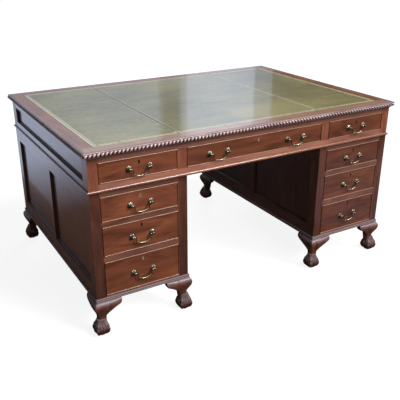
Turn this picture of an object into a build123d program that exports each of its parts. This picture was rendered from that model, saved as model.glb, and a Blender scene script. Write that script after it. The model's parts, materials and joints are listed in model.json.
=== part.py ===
from build123d import *

import os
from collections import namedtuple

# A mahogany pedestal writing desk: a leather-topped frieze with three drawers on two panelled
# pedestals with three drawers each, on ball feet.
# Frame: origin on the floor under the middle of the desk, +X right, +Y to the back, +Z up.
# Sizes are in millimetres.

# Plan
desk_width = 1524
desk_depth = 1067
edge_projection = 20
pedestal_width = 404
post_width = 40
post_depth = 54
side_frame_thickness = 30

# Heights, from the floor up
foot_height = 156
bottom_rail_height = 22
lower_drawer_height = 146
lower_rail_height = 24
middle_drawer_height = 123
upper_rail_height = 20
upper_drawer_height = 103
pedestal_top_rail_height = 17
frieze_bottom_rail_height = 33
frieze_drawer_height = 83
frieze_top_rail_height = 25
top_thickness = 20

# Framed panels
panel_recess = 11
panel_thickness = 9
panel_tongue = 8
pedestal_panel_bottom_rail = 66
pedestal_panel_top_rail = 59
frieze_panel_bottom_rail = 37
frieze_panel_top_rail = 32
muntin_width = 40
panel_bead_width = 5
panel_bead_height = 6

# Joinery
tenon_length = 12
tenon_thickness = 10
frame_shoulder = 10
drawer_rail_shoulder = 4
dowel_radius = 6
dowel_length = 30
dowel_inset = 25
joint_clearance = 0.2

# Top, leather and mouldings
border_width = 45
leather_thickness = 1.5
leather_seam_gap = 0.4
side_leather_width = 352
edge_drop = 6
edge_step = 10
edge_top_bevel = 2
edge_bottom_fillet = 3
waist_bead_height = 12
waist_bead_projection = 6
base_moulding_height = 15
base_moulding_projection = 5
base_moulding_back = 1.6

# Inside the case
runner_width = 35
runner_thickness = 18
guide_height = 25
partition_thickness = 20
board_thickness = 8
stop_length = 30
stop_depth = 10
stop_height = 4
stop_clearance = 0.3

# Drawers
drawer_back_gap = 73
front_gap = 1
running_clearance = 0.3
front_thickness = 22
cock_bead_thickness = 3
cock_bead_projection = 3
cock_bead_seat = 10
cock_bead_round = 1.4
drawer_side_thickness = 10
drawer_back_thickness = 10
drawer_bottom_thickness = 7
drawer_bottom_lift = 8
drawer_groove_depth = 5
drawer_side_drop = 8
drawer_back_drop = 5
tail_lap = 1
tail_pitch = 40
tail_spacing = 12
tail_flare = 3

# Handles, keyholes and locks
rose_spacing = 86
rose_radius = 12
rose_height = 5.5
rose_rim_height = 1.8
rose_collar_radius = 8.4
rose_collar_height = 2.8
pivot_projection = 12
post_ball_radius = 6
post_neck_radius = 4
shank_radius = 2.5
shank_clearance = 0.2
nut_width = 11
nut_thickness = 4
shank_end = 2
wire_radius = 2.4
pin_clearance = 0.06
pin_reach = 5.4
bail_side_gap = 1
bail_neck_turn = 7
bail_bend_out = 1.5
bail_bend_drop = 14
bail_corner_inset = 0.7
bail_corner_drop = 21
knop_swell = 1.1
knop_spread = 0.27
centre_handle_offset = 193
frieze_handle_drop = 45
upper_handle_drop = 57
middle_handle_drop = 66
lower_handle_drop = 78
keyhole_radius = 2.2
keyhole_slot_width = 2.4
keyhole_slot_length = 7.5
keyhole_drop = 21
escutcheon_wall = 1.8
escutcheon_depth = 4
lock_height = 36
lock_bead_gap = 3
lock_plate_margin = 6
lock_plate_thickness = 2
lock_nut_gap = 3.5

# Feet
ball_radius = 33
ball_sink = 2
ball_inset = 14
knee_swell = 13
knee_drop = 26
ankle_drop = 76
ankle_inset = 4
ankle_width = 32
leg_top_width = 52
wing_reach = 105
wing_thickness = 20
wing_end_depth = 10
wing_lobe_depth = 22

# How far along a quarter round its middle lies
quarter_middle = 0.5**0.5

# Derived places
case_x = desk_width / 2 - edge_projection
case_y = desk_depth / 2 - edge_projection
inner_x = case_x - pedestal_width
opening_outer_x = case_x - post_width
opening_inner_x = inner_x + post_width
post_y = case_y - post_depth
lower_opening_z = foot_height + bottom_rail_height
lower_rail_z = lower_opening_z + lower_drawer_height
middle_opening_z = lower_rail_z + lower_rail_height
upper_rail_z = middle_opening_z + middle_drawer_height
upper_opening_z = upper_rail_z + upper_rail_height
pedestal_rail_z = upper_opening_z + upper_drawer_height
frieze_z = pedestal_rail_z + pedestal_top_rail_height
frieze_opening_z = frieze_z + frieze_bottom_rail_height
frieze_rail_z = frieze_opening_z + frieze_drawer_height
top_z = frieze_rail_z + frieze_top_rail_height
desk_height = top_z + top_thickness
pedestal_panel_z = foot_height + pedestal_panel_bottom_rail
pedestal_panel_top_z = frieze_z - pedestal_panel_top_rail
frieze_panel_z = frieze_z + frieze_panel_bottom_rail
frieze_panel_top_z = top_z - frieze_panel_top_rail
partition_x = (inner_x + opening_inner_x) / 2
front_back_y = -case_y + front_thickness
drawer_end_y = post_y - drawer_back_gap
tail_length = front_thickness - cock_bead_seat - tail_lap
lock_width = rose_spacing - nut_width - 2 * (lock_nut_gap + lock_plate_margin)
lock_depth = front_thickness - cock_bead_seat - lock_bead_gap
ankle_height = foot_height - ankle_drop
pivot_y = -case_y - pivot_projection

Member = namedtuple("Member", "node box along thin shoulder")
Drawer = namedtuple("Drawer", "name x0 x1 z0 z1 handles handle_z")

X_AXIS, Y_AXIS, Z_AXIS = range(3)
parts = {}


def keep(node, pieces):
    """Adds the solids of some pieces to a node."""
    parts.setdefault(node, []).extend(solid for piece in pieces for solid in piece.solids())


def block(low, high, mode=Mode.ADD):
    """Adds or cuts the box between two opposite corners."""
    size = [b - a for a, b in zip(low, high)]
    with Locations(tuple((a + b) / 2 for a, b in zip(low, high))):
        Box(*size, mode=mode)


def board(low, high):
    """A plain rectangular board."""
    with BuildPart() as plank:
        block(low, high)
    return plank.part


def grown(box, margin):
    """A box with a margin added on every side."""
    low, high = box
    return [a - margin for a in low], [b + margin for b in high]


def meets(box, other):
    """Whether two boxes share some volume."""
    return all(a < d and c < b for a, b, c, d in zip(box[0], box[1], other[0], other[1]))


def other_side(box):
    """The mirror image of a box across the middle of the desk's width."""
    low, high = box
    return (-high[0], low[1], low[2]), (-low[0], high[1], high[2])


def both_sides(boxes):
    """Each box together with its mirror image."""
    return boxes + [other_side(box) for box in boxes]


def tenons(member):
    """The stub tenons on the two ends of a rail, muntin or divider."""
    if member.along is None:
        return []
    low, high = member.box
    wide = X_AXIS + Y_AXIS + Z_AXIS - member.along - member.thin
    middle = (low[member.thin] + high[member.thin]) / 2
    found = []
    for start in (low[member.along] - tenon_length, high[member.along]):
        near, far = list(low), list(high)
        near[member.along], far[member.along] = start, start + tenon_length
        near[wide], far[wide] = low[wide] + member.shoulder, high[wide] - member.shoulder
        near[member.thin], far[member.thin] = middle - tenon_thickness / 2, middle + tenon_thickness / 2
        found.append((near, far))
    return found


def framed(members, panels, dowels):
    """Builds each member of a frame, cut for the tenons, panels and dowels that enter it."""
    all_tenons = [tenons(member) for member in members]
    for place, member in enumerate(members):
        entering = [t for other, found in enumerate(all_tenons) if other != place for t in found]
        with BuildPart() as piece:
            block(*member.box)
            for tenon in all_tenons[place]:
                block(*tenon)
            for entry in entering + panels:
                if meets(entry, member.box):
                    block(*grown(entry, joint_clearance), mode=Mode.SUBTRACT)
            for dowel in dowels:
                if meets(dowel_box(dowel), member.box):
                    with Locations(dowel):
                        Cylinder(
                            dowel_radius + joint_clearance,
                            dowel_length + 2 * joint_clearance,
                            mode=Mode.SUBTRACT,
                        )
        keep(member.node, [piece.part])


def dowel_box(dowel):
    """The box round an upright dowel."""
    reach = (dowel_radius, dowel_radius, dowel_length / 2)
    return [a - b for a, b in zip(dowel, reach)], [a + b for a, b in zip(dowel, reach)]


def mitred_strip(section, foot, outward, up, half_length, mitre):
    """A strip whose section stands on a face, its ends cut at 45 degrees.

    The section has x outward from the face and y along up. The strip grows longer away from the
    face for mitre 1, as round a box, and shorter for mitre -1, as inside an opening.
    """
    along = Vector(outward).cross(Vector(up))
    box = section.bounding_box()
    near, far = box.min.X, box.max.X
    near_half, far_half = half_length + mitre * near, half_length + mitre * far
    with BuildPart() as strip:
        with BuildSketch(Plane(origin=foot, x_dir=outward, z_dir=along)):
            add(section)
        extrude(amount=max(near_half, far_half), both=True)
        with BuildSketch(Plane(origin=foot, x_dir=outward, z_dir=up)):
            with BuildLine():
                Polyline(
                    (near, -near_half),
                    (far, -far_half),
                    (far, far_half),
                    (near, near_half),
                    close=True,
                )
            make_face()
        extrude(amount=abs(box.max.Y) + abs(box.min.Y), both=True, mode=Mode.INTERSECT)
    return strip.part


def mitred_ring(section, centre, first, first_half, second, second_half, up, mitre):
    """Four mitred strips round a rectangle, or inside it for mitre -1."""
    strips = []
    for axis, half, other_half in ((first, first_half, second_half), (second, second_half, first_half)):
        for sign in (-1, 1):
            foot = Vector(centre) + Vector(axis) * sign * half
            outward = Vector(axis) * sign * mitre
            strips.append(mitred_strip(section, foot, outward, up, other_half, mitre))
    return strips


def waist_section():
    """A half-round bead on a flat back: an arc from the lower to the upper edge."""
    height = waist_bead_height
    with BuildSketch() as section:
        with BuildLine():
            Line((0, height), (0, 0))
            ThreePointArc((0, 0), (waist_bead_projection, height / 2), (0, height))
        make_face()
    return section.sketch


def base_section():
    """Two half-round beads, one above the other, on a thin flat back."""
    back, projection, height = base_moulding_back, base_moulding_projection, base_moulding_height
    with BuildSketch() as section:
        with BuildLine():
            Polyline((back, height), (0, height), (0, 0), (back, 0))
            ThreePointArc((back, 0), (projection, height / 4), (back, height / 2))
            ThreePointArc((back, height / 2), (projection, height * 3 / 4), (back, height))
        make_face()
    return section.sketch


def slab_section(width, thickness):
    """A rectangle that reaches back from the outer face."""
    with BuildSketch() as section:
        Rectangle(width, thickness, align=(Align.MAX, Align.MIN))
    return section.sketch


def edge_section():
    """The top's edge: a bevel above a round nose, with a small fillet below."""
    height = top_thickness + edge_drop
    nose_top = height - edge_top_bevel
    nose_middle = (nose_top + edge_bottom_fillet) / 2
    with BuildSketch() as section:
        with BuildLine():
            Polyline((edge_step, edge_bottom_fillet), (edge_step, 0), (0, 0), (0, height))
            Line((0, height), (edge_step, nose_top))
            ThreePointArc(
                (edge_step, nose_top), (edge_projection, nose_middle), (edge_step, edge_bottom_fillet)
            )
        make_face()
    return section.sketch


def panel_bead_section():
    """A quarter-round bead that fills the corner between a panel and its frame."""
    with BuildSketch() as section:
        with BuildLine():
            Polyline((0, panel_bead_height), (0, 0), (panel_bead_width, 0))
            ThreePointArc(
                (panel_bead_width, 0),
                (panel_bead_width * quarter_middle, panel_bead_height * quarter_middle),
                (0, panel_bead_height),
            )
        make_face()
    return section.sketch


def cock_bead_section():
    """A thin bead let into the rebate of a drawer front, its front edge rounded."""
    with BuildSketch() as section:
        Rectangle(
            cock_bead_thickness, cock_bead_seat + cock_bead_projection, align=(Align.MIN, Align.MIN)
        )
        fillet(section.vertices().group_by(Axis.Y)[-1], cock_bead_round)
    return section.sketch


def pedestal_members(side):
    """The posts, muntins and rails of one pedestal, as boxes with their tenon directions."""
    turn = other_side if side == "left" else tuple
    members = []
    posts = f"{side}_pedestal_posts"
    side_frames = ((inner_x, inner_x + side_frame_thickness), (case_x - side_frame_thickness, case_x))
    for x0, x1 in ((inner_x, opening_inner_x), (opening_outer_x, case_x)):
        for y0, y1 in ((-case_y, -post_y), (post_y, case_y)):
            members.append(Member(posts, turn(((x0, y0, foot_height), (x1, y1, frieze_z))), None, None, 0))
    for x0, x1 in side_frames:
        muntin = ((x0, -muntin_width / 2, pedestal_panel_z), (x1, muntin_width / 2, pedestal_panel_top_z))
        members.append(Member(posts, turn(muntin), Z_AXIS, X_AXIS, frame_shoulder))
        for z0, z1 in ((foot_height, pedestal_panel_z), (pedestal_panel_top_z, frieze_z)):
            rail = ((x0, -post_y, z0), (x1, post_y, z1))
            members.append(Member("pedestal_side_rails", turn(rail), Y_AXIS, X_AXIS, frame_shoulder))
    for z0, z1 in (
        (foot_height, lower_opening_z),
        (lower_rail_z, middle_opening_z),
        (upper_rail_z, upper_opening_z),
        (pedestal_rail_z, frieze_z),
    ):
        rail = ((opening_inner_x, -case_y, z0), (opening_outer_x, -post_y, z1))
        members.append(Member("pedestal_cross_rails", turn(rail), X_AXIS, Y_AXIS, drawer_rail_shoulder))
    for z0, z1 in ((foot_height, pedestal_panel_z), (pedestal_panel_top_z, frieze_z)):
        rail = ((opening_inner_x, post_y, z0), (opening_outer_x, case_y, z1))
        members.append(Member("pedestal_cross_rails", turn(rail), X_AXIS, Y_AXIS, frame_shoulder))
    return members


def frieze_members():
    """The posts, dividers and rails of the frieze, as boxes with their tenon directions."""
    members = []
    for y0, y1 in ((-case_y, -post_y), (post_y, case_y)):
        post = ((opening_outer_x, y0, frieze_z), (case_x, y1, top_z))
        for box in both_sides([post]):
            members.append(Member("frieze_posts", box, None, None, 0))
    levels = {
        (-case_y, -post_y): (frieze_opening_z, frieze_rail_z, drawer_rail_shoulder),
        (post_y, case_y): (frieze_panel_z, frieze_panel_top_z, frame_shoulder),
    }
    for (y0, y1), (lower, upper, shoulder) in levels.items():
        divider = ((inner_x, y0, lower), (opening_inner_x, y1, upper))
        for box in both_sides([divider]):
            members.append(Member("frieze_posts", box, Z_AXIS, Y_AXIS, frame_shoulder))
        for z0, z1 in ((frieze_z, lower), (upper, top_z)):
            rail = ((-opening_outer_x, y0, z0), (opening_outer_x, y1, z1))
            members.append(Member("frieze_long_rails", rail, X_AXIS, Y_AXIS, shoulder))
    for z0, z1 in ((frieze_z, frieze_panel_z), (frieze_panel_top_z, top_z)):
        rail = ((case_x - side_frame_thickness, -post_y, z0), (case_x, post_y, z1))
        for box in both_sides([rail]):
            members.append(Member("frieze_end_rails", box, Y_AXIS, X_AXIS, frame_shoulder))
    return members


def panel_bead(low, high, axis, face, outward):
    """The quarter-round bead round a panel, inside its opening."""
    other = Y_AXIS if axis == X_AXIS else X_AXIS
    centre = [(a + b) / 2 for a, b in zip(low, high)]
    centre[axis] = face - outward * panel_recess
    directions = [Vector(1, 0, 0), Vector(0, 1, 0), Vector(0, 0, 1)]
    return mitred_ring(
        panel_bead_section(),
        centre,
        directions[other],
        (high[other] - low[other]) / 2,
        directions[Z_AXIS],
        (high[Z_AXIS] - low[Z_AXIS]) / 2,
        directions[axis] * outward,
        -1,
    )


def pedestal_openings(side):
    """The panelled openings of one pedestal: low corner, high corner, axis, face and outward sign."""
    sign = -1 if side == "left" else 1
    half_muntin = muntin_width / 2
    z0, z1 = pedestal_panel_z, pedestal_panel_top_z
    openings = []
    for face, outward in ((sign * case_x, sign), (sign * inner_x, -sign)):
        for y0, y1 in ((-post_y, -half_muntin), (half_muntin, post_y)):
            openings.append(((face, y0, z0), (face, y1, z1), X_AXIS, face, outward))
    x0, x1 = sorted((sign * opening_inner_x, sign * opening_outer_x))
    openings.append(((x0, case_y, z0), (x1, case_y, z1), Y_AXIS, case_y, 1))
    return openings


def frieze_openings():
    """The panelled openings of the frieze: its two ends and its back."""
    z0, z1 = frieze_panel_z, frieze_panel_top_z
    openings = []
    for sign in (-1, 1):
        face = sign * case_x
        openings.append(((face, -post_y, z0), (face, post_y, z1), X_AXIS, face, sign))
    for x0, x1 in (
        (-opening_outer_x, -opening_inner_x),
        (-inner_x, inner_x),
        (opening_inner_x, opening_outer_x),
    ):
        openings.append(((x0, case_y, z0), (x1, case_y, z1), Y_AXIS, case_y, 1))
    return openings


def recessed_panel(opening):
    """The box of the panel behind one opening."""
    low, high, axis, face, outward = opening
    near = [a - panel_tongue for a in low]
    far = [b + panel_tongue for b in high]
    depths = sorted((face - outward * panel_recess, face - outward * (panel_recess + panel_thickness)))
    near[axis], far[axis] = depths
    return near, far


def dowels():
    """The upright dowels that keep the frieze in place on the pedestals."""
    y = case_y - dowel_inset
    outer_x = case_x - post_width / 2
    return [(sx * x, sy * y, frieze_z) for x in (partition_x, outer_x) for sx in (-1, 1) for sy in (-1, 1)]


def build_case():
    """The frames, panels, panel beads and dowels of the frieze and the two pedestals."""
    dowel_places = dowels()
    groups = (
        (frieze_members(), frieze_openings(), "frieze_panels"),
        (pedestal_members("left"), pedestal_openings("left"), "pedestal_panels"),
        (pedestal_members("right"), pedestal_openings("right"), "pedestal_panels"),
    )
    for members, openings, panel_node in groups:
        panels = [recessed_panel(opening) for opening in openings]
        framed(members, panels, dowel_places)
        keep(panel_node, [board(*panel) for panel in panels])
        for opening in openings:
            keep("panel_beads", panel_bead(*opening))
    for dowel in dowel_places:
        with BuildPart() as peg:
            with Locations(dowel):
                Cylinder(dowel_radius, dowel_length)
        keep("locating_dowels", [peg.part])


def build_top():
    """The mitred border, the board under the leather, the three leathers and the edge moulding."""
    border = slab_section(border_width, top_thickness)
    centre = (0, 0, top_z)
    keep("top_border", mitred_ring(border, centre, (1, 0, 0), case_x, (0, 1, 0), case_y, (0, 0, 1), 1))
    edge_centre = (0, 0, top_z - edge_drop)
    edge = mitred_ring(edge_section(), edge_centre, (1, 0, 0), case_x, (0, 1, 0), case_y, (0, 0, 1), 1)
    keep("edge_moulding", edge)
    field_x, field_y = case_x - border_width, case_y - border_width
    leather_z = desk_height - leather_thickness
    keep("top_panel", [board((-field_x, -field_y, top_z), (field_x, field_y, leather_z))])
    seam_x = field_x - side_leather_width
    half_gap = leather_seam_gap / 2
    spans = {
        "left": (-field_x, -seam_x - half_gap),
        "centre": (-seam_x + half_gap, seam_x - half_gap),
        "right": (seam_x + half_gap, field_x),
    }
    for name, (x0, x1) in spans.items():
        keep(f"{name}_leather", [board((x0, -field_y, leather_z), (x1, field_y, desk_height))])


def build_mouldings():
    """The bead round the waist and the double bead round the foot of each pedestal."""
    waist = waist_section()
    round_desk = mitred_ring(waist, (0, 0, frieze_z), (1, 0, 0), case_x, (0, 1, 0), case_y, (0, 0, 1), 1)
    keep("waist_moulding", round_desk)
    base = base_section()
    middle_x = (inner_x + case_x) / 2
    for sign in (-1, 1):
        centre = (sign * middle_x, 0, foot_height)
        strips = mitred_ring(base, centre, (1, 0, 0), pedestal_width / 2, (0, 1, 0), case_y, (0, 0, 1), 1)
        keep("base_mouldings", strips)


def along_wall(wall_x, reach_x, z0, z1):
    """A strip along a wall of the case, from the front rails to the back ones."""
    x0, x1 = sorted((wall_x, reach_x))
    return board((x0, -post_y, z0), (x1, post_y, z1))


def runner_pair(wall_x, inward, opening_x, z_top):
    """One runner, and on it the guide that fills out the wall to the side of the drawer's opening."""
    return [
        along_wall(wall_x, wall_x + inward * runner_width, z_top - runner_thickness, z_top),
        along_wall(wall_x, opening_x, z_top, z_top + guide_height),
    ]


def drawer_stops(drawer):
    """Two small blocks on the rail that stop a drawer front level with the case."""
    y0 = front_back_y + stop_clearance
    quarter = (drawer.x1 - drawer.x0) / 4
    pieces = []
    for x in (drawer.x0 + quarter, drawer.x1 - quarter):
        low = (x - stop_length / 2, y0, drawer.z0)
        pieces.append(board(low, (x + stop_length / 2, y0 + stop_depth, drawer.z0 + stop_height)))
    return pieces


def build_inside():
    """Runners, guides, kickers, partitions, dust boards and stops."""
    wall_x = case_x - side_frame_thickness
    inner_wall_x = inner_x + side_frame_thickness
    for sign in (-1, 1):
        walls = (
            (sign * inner_wall_x, sign, sign * opening_inner_x),
            (sign * wall_x, -sign, sign * opening_outer_x),
        )
        board_z = frieze_z - board_thickness
        for wall, inward, opening in walls:
            for z_top in (lower_opening_z, middle_opening_z, upper_opening_z):
                keep("drawer_runners", runner_pair(wall, inward, opening, z_top))
            kicker = along_wall(wall, wall + inward * runner_width, pedestal_rail_z, board_z)
            keep("drawer_runners", [kicker])
        floor_z = lower_opening_z - runner_thickness
        for z0 in (floor_z - board_thickness, board_z):
            keep("inner_boards", [along_wall(sign * inner_wall_x, sign * wall_x, z0, z0 + board_thickness)])
    half = partition_thickness / 2
    for sign in (-1, 1):
        near_x, far_x = sign * (partition_x - half), sign * (partition_x + half)
        keep("inner_boards", [along_wall(near_x, far_x, frieze_z, top_z)])
        walls = (
            (near_x, -sign, sign * inner_x),
            (far_x, sign, sign * opening_inner_x),
            (sign * wall_x, -sign, sign * opening_outer_x),
        )
        for wall, inward, opening in walls:
            keep("drawer_runners", runner_pair(wall, inward, opening, frieze_opening_z))
            kicker_top = frieze_rail_z + runner_thickness
            kicker = along_wall(wall, wall + inward * runner_width, frieze_rail_z, kicker_top)
            keep("drawer_runners", [kicker])
    dust_z = frieze_opening_z - runner_thickness
    dust_x = partition_x - half
    keep("inner_boards", [along_wall(-dust_x, dust_x, dust_z - board_thickness, dust_z)])


def leg_profile():
    """The cabriole line sawn on two faces of the leg: x inward from the case corner, y up."""
    below_knee = (-knee_swell / 2, foot_height - 2 * knee_drop)
    with BuildSketch() as profile:
        with BuildLine():
            knee = ThreePointArc((0, foot_height), (-knee_swell, foot_height - knee_drop), below_knee)
            ankle = TangentArc(below_knee, (ankle_inset, ankle_height), tangent=knee % 1)
            far_x = ankle_inset + ankle_width
            Polyline(ankle @ 1, (ankle_inset, ball_radius), (far_x, ball_radius), (far_x, ankle_height))
            Line((far_x, ankle_height), (leg_top_width, foot_height - knee_drop))
            Line((leg_top_width, foot_height - knee_drop), (leg_top_width, foot_height))
            Line((leg_top_width, foot_height), (0, foot_height))
        make_face()
    return profile.sketch


def wing_profile():
    """The bracket beside the leg: a rounded lobe at its end and a hollow sweep down to the ankle."""
    start_x = ankle_inset + ankle_width / 2
    lobe_x = wing_reach - wing_lobe_depth / 2
    lobe_z = foot_height - wing_lobe_depth
    sweep_x, sweep_z = ankle_inset + ankle_width, ankle_height + wing_end_depth
    hollow = ((lobe_x + sweep_x) / 2 - wing_end_depth, (lobe_z + sweep_z) / 2 + wing_end_depth)
    tip = (wing_reach, foot_height - wing_end_depth)
    with BuildSketch() as profile:
        with BuildLine():
            Polyline((start_x, foot_height), (wing_reach, foot_height), tip)
            TangentArc(tip, (lobe_x, lobe_z), tangent=(0, -1))
            ThreePointArc((lobe_x, lobe_z), hollow, (sweep_x, sweep_z))
            Polyline((sweep_x, sweep_z), (start_x, sweep_z), (start_x, foot_height))
        make_face()
    return profile.sketch


def ball_foot(corner_x, corner_y, inward_x, inward_y):
    """One foot under a pedestal corner: a sawn cabriole leg, two bracket wings and a ball."""
    x_dir, y_dir = (inward_x, 0, 0), (0, inward_y, 0)
    x_normal, y_normal = (0, -inward_x, 0), (inward_y, 0, 0)
    corner = Vector(corner_x, corner_y, 0)
    reach = wing_reach + knee_swell
    half_wing = wing_thickness / 2
    with BuildPart() as foot:
        with BuildSketch(Plane(origin=corner, x_dir=x_dir, z_dir=x_normal)):
            add(leg_profile())
        extrude(amount=reach, both=True)
        with BuildSketch(Plane(origin=corner, x_dir=y_dir, z_dir=y_normal)):
            add(leg_profile())
        extrude(amount=reach, both=True, mode=Mode.INTERSECT)
        with BuildSketch(Plane(origin=corner + Vector(y_dir) * half_wing, x_dir=x_dir, z_dir=x_normal)):
            add(wing_profile())
        extrude(amount=half_wing, both=True)
        with BuildSketch(Plane(origin=corner + Vector(x_dir) * half_wing, x_dir=y_dir, z_dir=y_normal)):
            add(wing_profile())
        extrude(amount=half_wing, both=True)
        ball = corner + Vector(x_dir) * ball_inset + Vector(y_dir) * ball_inset
        with Locations(ball + Vector(0, 0, ball_radius - ball_sink)):
            Sphere(ball_radius)
        split(bisect_by=Plane.XY, keep=Keep.TOP)
    return foot.part


def build_feet():
    """A foot under each corner of each pedestal."""
    for side, sign in (("left", -1), ("right", 1)):
        for x, inward_x in ((inner_x, 1), (case_x, -1)):
            for inward_y in (-1, 1):
                foot = ball_foot(sign * x, -inward_y * case_y, sign * inward_x, inward_y)
                keep(f"{side}_claw_feet", [foot])


def front_plane(x, z):
    """A plane on the drawers' front face, seen from the front."""
    return Plane(origin=(x, -case_y, z), x_dir=(1, 0, 0), z_dir=(0, -1, 0))


def keyhole_shape(margin):
    """A round hole over a narrow slot, grown by a margin."""
    with BuildSketch() as shape:
        Circle(keyhole_radius + margin)
        Rectangle(
            keyhole_slot_width + 2 * margin, keyhole_slot_length + margin, align=(Align.CENTER, Align.MAX)
        )
    return shape.sketch


def along_y(x, z, y0, y1, radius, mode=Mode.ADD):
    """Adds or cuts a round bar along the depth of the desk."""
    with Locations((x, (y0 + y1) / 2, z)):
        Cylinder(radius, y1 - y0, rotation=(90, 0, 0), mode=mode)


def front_box(drawer):
    """The outline of a drawer front inside its opening."""
    low = (drawer.x0 + front_gap, -case_y, drawer.z0 + front_gap)
    high = (drawer.x1 - front_gap, front_back_y, drawer.z1 - front_gap)
    return low, high


def bottom_box(drawer):
    """The board that closes a drawer below, held in grooves of the front and the sides."""
    inset = front_gap + drawer_side_thickness - drawer_groove_depth
    z0 = drawer.z0 + drawer_bottom_lift
    low = (drawer.x0 + inset, front_back_y - drawer_groove_depth, z0)
    high = (drawer.x1 - inset, drawer_end_y, z0 + drawer_bottom_thickness)
    return low, high


def lock_boxes(drawer):
    """The lock's case, let into the back of the front, and its plate."""
    middle = (drawer.x0 + drawer.x1) / 2
    top = front_box(drawer)[1][2]
    half = lock_width / 2
    case_low = (middle - half, front_back_y - lock_depth, top - lock_height)
    plate_half = half + lock_plate_margin
    plate_low = (middle - plate_half, front_back_y, top - lock_height - lock_plate_margin)
    plate_high = (middle + plate_half, front_back_y + lock_plate_thickness, top)
    return (case_low, (middle + half, front_back_y, top)), (plate_low, plate_high)


def tail_shapes(drawer, margin):
    """The dovetails of a drawer side, seen from the side: x is depth, y is height."""
    z0, z1 = drawer.z0 + running_clearance, drawer.z1 - drawer_side_drop
    count = max(2, round((z1 - z0) / tail_pitch))
    pitch = (z1 - z0) / count
    root_half = (pitch - tail_spacing) / 2 + margin
    tip_half = root_half + tail_flare
    tip_y = front_back_y - tail_length - margin
    with BuildSketch() as shapes:
        for number in range(count):
            middle = z0 + pitch * (number + 0.5)
            with BuildLine():
                Polyline(
                    (front_back_y, middle - root_half),
                    (front_back_y, middle + root_half),
                    (tip_y, middle + tip_half),
                    (tip_y, middle - tip_half),
                    close=True,
                )
            make_face()
    return shapes.sketch


def side_spans(drawer):
    """The left and right spans of a drawer's two sides."""
    left, right = drawer.x0 + front_gap, drawer.x1 - front_gap
    return (left, left + drawer_side_thickness), (right - drawer_side_thickness, right)


def handle_posts(drawer):
    """The places of a drawer's handle posts."""
    half = rose_spacing / 2
    return [middle + sign * half for middle in drawer.handles for sign in (-1, 1)]


def build_front(drawer):
    """A drawer front with its rebate, bores, keyhole, lock pocket and dovetail sockets."""
    low, high = front_box(drawer)
    seat_y = -case_y + cock_bead_seat
    t = cock_bead_thickness
    middle = (drawer.x0 + drawer.x1) / 2
    lock_case, _ = lock_boxes(drawer)
    keyhole_plane = front_plane(middle, drawer.z1 - keyhole_drop)
    with BuildPart() as front:
        block((low[0], seat_y, low[2]), high)
        block((low[0] + t, low[1], low[2] + t), (high[0] - t, seat_y, high[2] - t))
        for x in handle_posts(drawer):
            along_y(x, drawer.handle_z, low[1], high[1], shank_radius + shank_clearance, Mode.SUBTRACT)
        block(*grown(bottom_box(drawer), joint_clearance), mode=Mode.SUBTRACT)
        block(*grown(lock_case, joint_clearance), mode=Mode.SUBTRACT)
        with BuildSketch(keyhole_plane):
            add(keyhole_shape(escutcheon_wall + joint_clearance))
        extrude(amount=-escutcheon_depth - joint_clearance, mode=Mode.SUBTRACT)
        with BuildSketch(keyhole_plane):
            add(keyhole_shape(0))
        extrude(amount=-front_thickness, mode=Mode.SUBTRACT)
        for x0, x1 in side_spans(drawer):
            with BuildSketch(Plane.YZ.offset((x0 + x1) / 2)):
                add(tail_shapes(drawer, joint_clearance))
            extrude(amount=drawer_side_thickness / 2 + joint_clearance, both=True, mode=Mode.SUBTRACT)
    keep(f"{drawer.name}_drawer_front", [front.part])
    centre = ((low[0] + high[0]) / 2, seat_y, (low[2] + high[2]) / 2)
    half_x, half_z = (high[0] - low[0]) / 2 - t, (high[2] - low[2]) / 2 - t
    beads = mitred_ring(
        cock_bead_section(), centre, (1, 0, 0), half_x, (0, 0, 1), half_z, (0, -1, 0), 1
    )
    keep(f"{drawer.name}_drawer_front", beads)


def build_drawer_box(drawer):
    """A drawer's dovetailed sides, its back and its bottom."""
    node = f"{drawer.name}_drawer_box"
    z0, z1 = drawer.z0 + running_clearance, drawer.z1 - drawer_side_drop
    bottom = bottom_box(drawer)
    for x0, x1 in side_spans(drawer):
        with BuildPart() as side:
            block((x0, front_back_y, z0), (x1, drawer_end_y, z1))
            with BuildSketch(Plane.YZ.offset((x0 + x1) / 2)):
                add(tail_shapes(drawer, 0))
            extrude(amount=drawer_side_thickness / 2, both=True)
            block(*grown(bottom, joint_clearance), mode=Mode.SUBTRACT)
        keep(node, [side.part])
    (_, left), (right, _) = side_spans(drawer)
    back_low = (left, drawer_end_y - drawer_back_thickness, bottom[1][2])
    keep(node, [board(back_low, (right, drawer_end_y, z1 - drawer_back_drop)), board(*bottom)])


def build_rose(x, z):
    """A stepped and domed brass rose under a handle post."""
    hole = shank_radius + shank_clearance
    collar, rim = rose_collar_radius, rose_rim_height
    dome_x = post_neck_radius + (collar - post_neck_radius) * quarter_middle
    dome_y = rose_collar_height + (rose_height - rose_collar_height) * quarter_middle
    plane = Plane(origin=(x, -case_y, z), x_dir=(1, 0, 0), z_dir=(0, 0, -1))
    with BuildPart() as rose:
        with BuildSketch(plane):
            with BuildLine():
                Polyline((hole, 0), (rose_radius, 0), (rose_radius, rim), (collar, rim))
                Line((collar, rim), (collar, rose_collar_height))
                ThreePointArc(
                    (collar, rose_collar_height), (dome_x, dome_y), (post_neck_radius, rose_height)
                )
                Polyline((post_neck_radius, rose_height), (hole, rose_height), (hole, 0))
            make_face()
        revolve(axis=Axis((x, -case_y, z), (0, -1, 0)))
    return rose.part


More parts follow.
